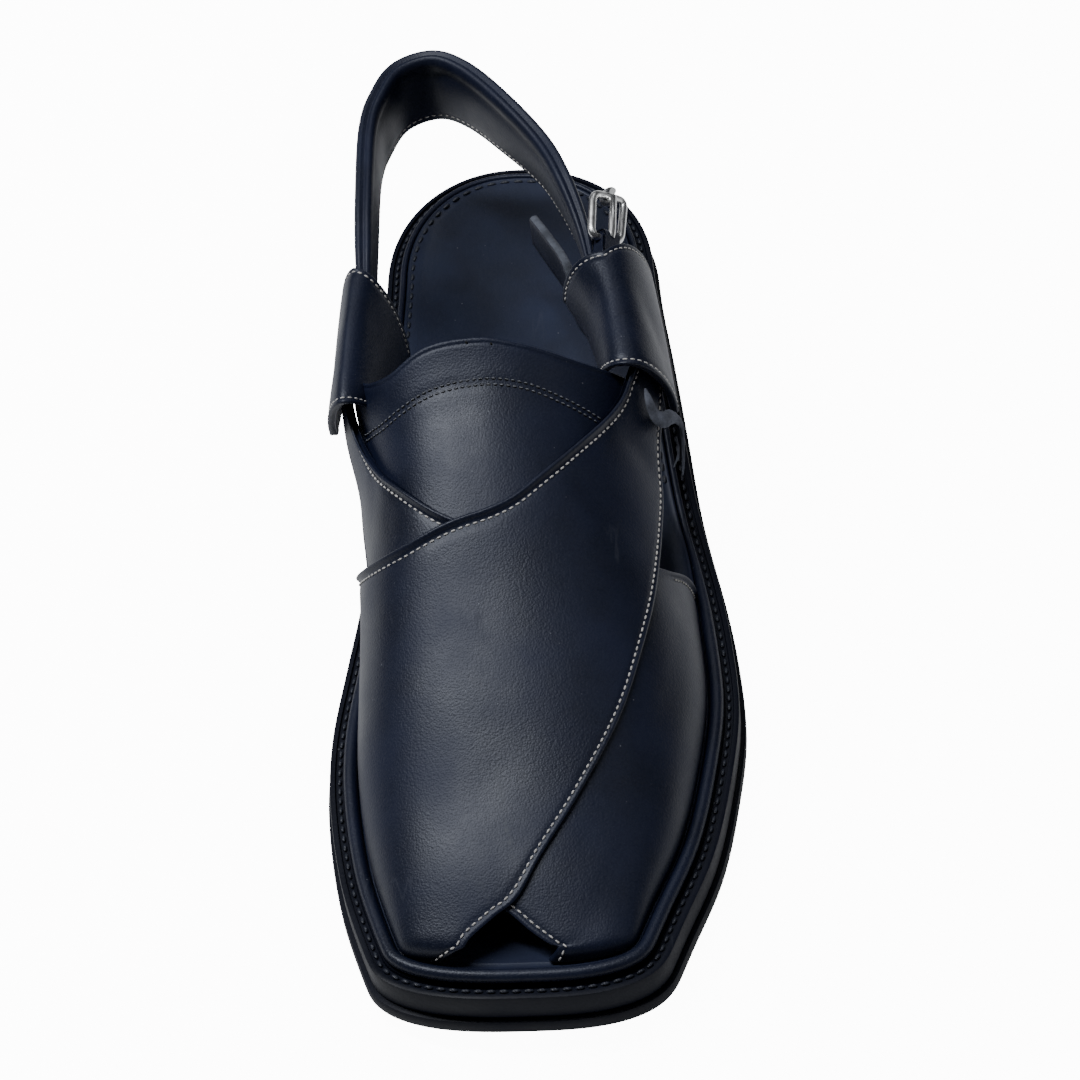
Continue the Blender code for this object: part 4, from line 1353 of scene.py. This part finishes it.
def band_sections(rows, steps, thickness, rim, gathers):
    """Closed sections of an upright strap along its table of rows, and the line of its lower seam."""
    path = curve_through(rows, [step / steps for step in range(steps + 1)])
    sections, seam, gone = [], [], 0.0
    for index, (along, x, top, bottom, fullness) in enumerate(path):
        after = path[min(index + 1, steps)]
        gone += (to_world(after[0], after[1], 0) - to_world(along, x, 0)).length
        sideways = side_of(path, index)
        low, high = to_world(along, x, bottom), to_world(along, x, top)
        half, radius = thickness / 2 * fullness, rim * fullness
        neck = high - UP * radius * NECK_DROP
        outer, inner = [], []
        for share, swell in BAND_PROFILE:
            level = neck.lerp(low, share)
            fading = 1 - ease((neck - level).length / GATHER_REACH)
            ripple = gathers * fading * (0.5 + 0.5 * sin(2 * pi * gone / GATHER_PITCH))
            outer.append(level + sideways * half * swell)
            inner.append(level - sideways * (half * swell - ripple))
        roll = [high + sideways * radius * out - UP * radius * down for out, down in RIM_PROFILE]
        sections.append(outer[::-1] + roll + inner)
        seam.append((neck.lerp(low, LOW_SEAM), sideways, half * LOW_SEAM_SWELL))
    return sections, seam


def strap_piece(name, sections, finish, slot, *replaced):
    """A strap drawn through its sections and closed at both ends."""
    return shown(name, closed(sections), finish, slot, *replaced, sharp=STRAP_SHARP_ANGLE)


STRAP_LEATHER = navy_finish("strap_leather", NAVY_COLOUR, 0.52, 2000.0, 0.6, 0.05)
strap_sections, strap_seam = band_sections(
    HEEL_STRAP, STRAP_STEPS, STRAP_THICKNESS, STRAP_RIM_RADIUS, GATHER_DEPTH,
)
strap_piece("heel_strap_band", strap_sections, STRAP_LEATHER, "navy_leather", "heel_strap")
sewn("strap_stitches", [
    [(spot - sideways * half, -sideways) for spot, sideways, half in strap_seam[STRAP_STEPS // 2:]],
    [(spot + sideways * half, sideways) for spot, sideways, half in strap_seam],
], STRAP_PITCH, PANEL_STITCH, IVORY_THREAD, "navy_leather")

# Strap tail: the strap's raw end doubled back and held inside the lateral keeper, with smooth faces and raw,
# suede-grey edges.
TAIL_THICKNESS = 0.0026
TAIL_STEPS = 50
STRAP_TAIL = (
    (0.3450, 0.220, 0.705, 0.590, 1.00),
    (0.3250, 0.200, 0.690, 0.570, 1.00),
    (0.3082, 0.188, 0.685, 0.555, 1.00),
    (0.2657, 0.162, 0.700, 0.555, 1.00),
    (0.2291, 0.122, 0.695, 0.550, 1.00),
    (0.1995, 0.085, 0.690, 0.560, 1.00),
)
TAIL_CORNERS = (
    (0.35, 0.0), (0.85, 0.035), (1.0, 0.10), (1.0, 0.30), (1.0, 0.5), (1.0, 0.7), (1.0, 0.90), (0.85, 0.965),
    (0.35, 1.0),
)
SMOOTH_FACE = 0.8


def raw_suede(name, colour):
    """The raw flesh side of the leather: grey, matt and fibrous."""
    finish, tree, shader = blank_finish(name, colour, 0.92, Specular_IOR_Level=0.2)
    place = add_node(tree, "ShaderNodeTexCoord").outputs["Object"]
    nap = add_node(tree, "ShaderNodeTexNoise", None, Vector=place, Scale=1400.0, Detail=5.0, Roughness=0.7)
    patches = add_node(tree, "ShaderNodeTexNoise", None, Vector=place, Scale=160.0, Detail=3.0)
    dark, pale = tuple(part * 0.35 for part in colour), tuple(part * 1.5 for part in colour)
    tone = blended(tree, curve_of(tree, patches.outputs["Fac"], 0.35, 0.65), (*dark, 1.0), (*pale, 1.0))
    tone = blended(tree, arithmetic(tree, "MULTIPLY", nap.outputs["Fac"], 0.4), tone, (*colour, 1.0))
    bump = add_node(tree, "ShaderNodeBump", None, Height=nap.outputs["Fac"], Distance=0.0004, Strength=0.9)
    tree.links.new(tone, shader.inputs["Base Color"])
    tree.links.new(bump.outputs["Normal"], shader.inputs["Normal"])
    return finish


SUEDE = raw_suede("raw_flesh_side", (0.075, 0.082, 0.100))
tail_sections = []
tail_path = curve_through(STRAP_TAIL, [step / TAIL_STEPS for step in range(TAIL_STEPS + 1)])
for index, (along, x, top, bottom, _) in enumerate(tail_path):
    sideways = side_of(tail_path, index) * TAIL_THICKNESS / 2
    low, high = to_world(along, x, bottom), to_world(along, x, top)
    tail_sections.append(
        [high.lerp(low, down) + sideways * out for out, down in TAIL_CORNERS]
        + [high.lerp(low, down) - sideways * out for out, down in TAIL_CORNERS[::-1]]
    )
tail = strap_piece("strap_tail_end", tail_sections, SUEDE, "suede_grey", "strap_tail")
tail.data.materials.append(LEATHER)
for face in tail.data.polygons:
    face.material_index = int(abs(face.normal.x) > SMOOTH_FACE)

# Curled strip: the rough end of a narrow thong that comes out of the lateral keeper's front opening, folds
# over and runs down behind the over panel. It lies loose, held by the keeper, with a strand beside it.
# Columns: along and around on the last (shares), lift off it, half width, half thickness (m)
CURLED_STRIP = (
    (0.4540, 0.215, 0.0014, 0.0003, 0.0003),
    (0.4600, 0.212, 0.0018, 0.0012, 0.0007),
    (0.4680, 0.206, 0.0022, 0.0020, 0.0009),
    (0.4730, 0.196, 0.0026, 0.0024, 0.0011),
    (0.4700, 0.182, 0.0030, 0.0022, 0.0012),
    (0.4610, 0.166, 0.0028, 0.0021, 0.0010),
    (0.4540, 0.148, 0.0024, 0.0016, 0.0009),
    (0.4490, 0.124, 0.0020, 0.0011, 0.0007),
    (0.4540, 0.110, 0.0014, 0.0007, 0.0005),
    (0.4700, 0.104, 0.0013, 0.0006, 0.0004),
    (0.4850, 0.100, 0.0012, 0.0003, 0.0003),
)
LOOSE_STRAND = (
    (0.4640, 0.134, 0.0014, 0.0003, 0.0003),
    (0.4710, 0.127, 0.0016, 0.0004, 0.0003),
    (0.4800, 0.126, 0.0016, 0.0004, 0.0003),
    (0.4930, 0.133, 0.0013, 0.0002, 0.0002),
)
STRIP_STEPS = 48
STRIP_SIDES = 10


def strip_sections(rows):
    """Flat oval sections of a thong that lies along its rows."""
    path = curve_through(rows, [step / STRIP_STEPS for step in range(STRIP_STEPS + 1)])
    spots = [last_point(row[0], row[1]) + last_normal(row[0], row[1]) * row[2] for row in path]
    sections = []
    for index, (spot, row) in enumerate(zip(spots, path)):
        run = (spots[min(index + 1, STRIP_STEPS)] - spots[max(index - 1, 0)]).normalized()
        outward = last_normal(row[0], row[1])
        sideways = run.cross(outward).normalized()
        turns = [2 * pi * side / STRIP_SIDES for side in range(STRIP_SIDES)]
        sections.append([
            spot + sideways * cos(turn) * row[3] + outward * sin(turn) * row[4] for turn in turns
        ])
    return sections


THONG = raw_suede("rough_thong", (0.085, 0.092, 0.115))
strap_piece("curled_strip", strip_sections(CURLED_STRIP), THONG, "suede_grey")
strap_piece("loose_strand", strip_sections(LOOSE_STRAND), THONG, "suede_grey")

# Buckle: a bent steel wire frame with its prong curled round the rear bar. A thin leather tab loops round
# the front bar and is caught inside the lateral keeper.
BUCKLE_WIRE = 0.0011
PRONG_HOLD = 0.0008
PRONG_WIRE = 0.0011
PRONG_CURL_START = -40
PRONG_CURL_STEP = 20
PRONG_CURL_STEPS = 14
PRONG_LEAD = 0.0012
PRONG_SHORT = 0.0022
PRONG_RISE = 0.0002
PRONG_TIP_SINK = 0.0001
PRONG_OVERHANG = 0.0004
CORNER_SHARE = 0.22
CORNER_STEPS = 6
TAB_THICKNESS = 0.0012
TAB_LENGTH = 0.010
TAB_WIDTH_SHARE = 0.5
TAB_TURN_STEPS = 16
TAB_SECTIONS = (1.0, 0.96, 0.0, -0.96, -1.0)
BUCKLE_CORNERS = (
    (0.2520, 0.248, 0.938),
    (0.2970, 0.238, 0.897),
    (0.2800, 0.306, 0.800),
    (0.2330, 0.322, 0.832),
)


def bright_steel():
    """Nickel-bright steel wire, faintly drawn along its length and lightly smudged."""
    finish, tree, shader = blank_finish("bright_steel", (0.78, 0.78, 0.76), 0.18, Metallic=1.0)
    place = add_node(tree, "ShaderNodeTexCoord").outputs["Object"]
    smudge = add_node(tree, "ShaderNodeTexNoise", None, Vector=place, Scale=320.0, Detail=4.0)
    drawn_lines = add_node(tree, "ShaderNodeTexNoise", None, Vector=place, Scale=2400.0, Detail=2.0)
    tree.links.new(curve_of(tree, smudge.outputs["Fac"], 0.3, 0.7, 0.24, 0.38), shader.inputs["Roughness"])
    tone = blended(tree, smudge.outputs["Fac"], (0.62, 0.62, 0.62, 1.0), (0.86, 0.86, 0.84, 1.0))
    tree.links.new(tone, shader.inputs["Base Color"])
    bump = add_node(
        tree, "ShaderNodeBump", None, Height=drawn_lines.outputs["Fac"], Distance=0.00001, Strength=0.3,
    )
    tree.links.new(bump.outputs["Normal"], shader.inputs["Normal"])
    return finish


def wire(name, points, radius, finish, node, cyclic=False):
    """A round wire bent through its points."""
    curve = bpy.data.curves.new(name, "CURVE")
    curve.dimensions = "3D"
    curve.bevel_depth = radius
    curve.bevel_resolution = 4
    curve.use_fill_caps = True
    line = curve.splines.new("POLY")
    line.points.add(len(points) - 1)
    for point, spot in zip(line.points, points):
        point.co = (*spot, 1.0)
    line.use_cyclic_u = cyclic
    line.use_smooth = True
    curve.materials.append(finish)
    piece = bpy.data.objects.new(name, curve)
    bpy.context.scene.collection.objects.link(piece)
    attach(piece, "root")
    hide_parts(node)
    return piece


STEEL = bright_steel()
rear_upper, front_upper, front_lower, rear_lower = [to_world(*corner) for corner in BUCKLE_CORNERS]
corners = [rear_upper, front_upper, front_lower, rear_lower]
frame_points = []
for index, corner in enumerate(corners):
    start = corner.lerp(corners[index - 1], CORNER_SHARE)
    end = corner.lerp(corners[(index + 1) % 4], CORNER_SHARE)
    for step in range(CORNER_STEPS + 1):
        t = step / CORNER_STEPS
        frame_points.append(start.lerp(corner, t).lerp(corner.lerp(end, t), t))
wire("buckle_wire", frame_points, BUCKLE_WIRE, STEEL, "buckle_frame", cyclic=True)

front, rear = (front_upper + front_lower) / 2, (rear_upper + rear_lower) / 2
forward = (front - rear).normalized()
outward = (front_upper - front_lower).cross(forward).normalized()
outward = outward if outward.x > 0 else -outward
hold = BUCKLE_WIRE + PRONG_HOLD
prong_points = []
for step in range(PRONG_CURL_STEPS, -1, -1):
    turn = radians(PRONG_CURL_START - PRONG_CURL_STEP * step)
    prong_points.append(rear + (outward * cos(turn) - forward * sin(turn)) * hold)
prong_points += [
    rear + outward * hold + forward * PRONG_LEAD,
    front + outward * (hold + PRONG_RISE) - forward * PRONG_SHORT,
    front + outward * (hold - PRONG_TIP_SINK) + forward * PRONG_OVERHANG,
]
wire("buckle_pin", prong_points, PRONG_WIRE, STEEL, "buckle_prong")

width = (front_upper - front_lower) * TAB_WIDTH_SHARE / 2
loop = []
for radius, order in ((BUCKLE_WIRE + GAP + TAB_THICKNESS, 1), (BUCKLE_WIRE + GAP, -1)):
    turns = [pi / 2 + pi * step / TAB_TURN_STEPS for step in range(TAB_TURN_STEPS + 1)]
    arc = [forward * cos(turn) * radius + outward * sin(turn) * radius for turn in turns]
    legs = [arc[0] + forward * TAB_LENGTH] + arc + [arc[-1] + forward * TAB_LENGTH]
    loop += legs[::order]
tab_sections = [[front + width * share + spot for spot in loop] for share in TAB_SECTIONS]
strap_piece("buckle_tab_loop", tab_sections, LEATHER, "navy_leather", "buckle_tab")

# Floor: a plain white sweep under the shoe. It looks white to the camera, but lights the shoe only weakly
# from below.
FLOOR_SIZE = 6.0
FLOOR_GLOW = 0.12
FLOOR_WHITE = 12.0
work = bmesh.new()
bmesh.ops.create_grid(work, x_segments=1, y_segments=1, size=FLOOR_SIZE / 2)
mesh = bpy.data.meshes.new("floor")
work.to_mesh(mesh)
work.free()
floor = bpy.data.objects.new("floor", mesh)
bpy.context.scene.collection.objects.link(floor)
floor_finish, floor_tree, floor_shader = blank_finish(
    "white_paper", (0.90, 0.90, 0.90), 0.9, Specular_IOR_Level=0.1,
)
floor_shader.inputs["Emission Color"].default_value = (1.0, 1.0, 1.0, 1.0)
seen = add_node(floor_tree, "ShaderNodeLightPath").outputs["Is Camera Ray"]
glow = curve_of(floor_tree, seen, 0.0, 1.0, FLOOR_GLOW, FLOOR_WHITE)
floor_tree.links.new(glow, floor_shader.inputs["Emission Strength"])
floor.data.materials.append(floor_finish)

# Light: a long soft box above the shoe's medial side, weak fills from behind and from the right, and a faint
# surround. Columns: name, place, target, size, power
LIGHT_COLOUR = (0.95, 0.97, 1.0)
LIGHTS = (
    ("top_box", (-0.42, 0.02, 1.20), (-0.01, -0.10, 0.03), (0.14, 1.00), 19.0),
    ("back_fill", (0.30, 1.10, 1.10), (0.0, -0.05, 0.03), (0.6, 0.6), 2.0),
    ("right_fill", (1.10, -0.30, 1.20), (0.0, -0.12, 0.03), (0.5, 0.5), 1.2),
)
for name, place, target, size, power in LIGHTS:
    lamp = bpy.data.lights.new(name, "AREA")
    lamp.shape = "RECTANGLE"
    lamp.size, lamp.size_y = size
    lamp.energy = power
    lamp.color = LIGHT_COLOUR
    holder = bpy.data.objects.new(name, lamp)
    bpy.context.scene.collection.objects.link(holder)
    holder.location = place
    holder.rotation_euler = (Vector(target) - Vector(place)).to_track_quat("-Z", "Y").to_euler()
SURROUND_COLOUR = (0.88, 0.92, 1.0, 1.0)
SURROUND_STRENGTH = 0.05
world = bpy.data.worlds.new("surround")
world.use_nodes = True
world.node_tree.nodes["Background"].inputs["Color"].default_value = SURROUND_COLOUR
world.node_tree.nodes["Background"].inputs["Strength"].default_value = SURROUND_STRENGTH
bpy.context.scene.world = world

# Camera: looking down at the shoe from in front of the toe, a little to the lateral side, as in the photo.
# It is turned a little about its own axis.
CAMERA_PLACE = (0.054, -0.728, 0.684)
CAMERA_RUN = (-0.0527, 0.6796, -0.7317)
CAMERA_ROLL = radians(-7.55)
CAMERA_LENS = 111.8
CAMERA_SENSOR = 36.0
camera = bpy.data.objects.new("camera", bpy.data.cameras.new("camera"))
bpy.context.scene.collection.objects.link(camera)
camera.data.lens = CAMERA_LENS
camera.data.sensor_width = CAMERA_SENSOR
camera.location = CAMERA_PLACE
camera.rotation_mode = "QUATERNION"
camera.rotation_quaternion = Vector(CAMERA_RUN).to_track_quat("-Z", "Y") @ Quaternion((0, 0, 1), CAMERA_ROLL)
bpy.context.scene.camera = camera
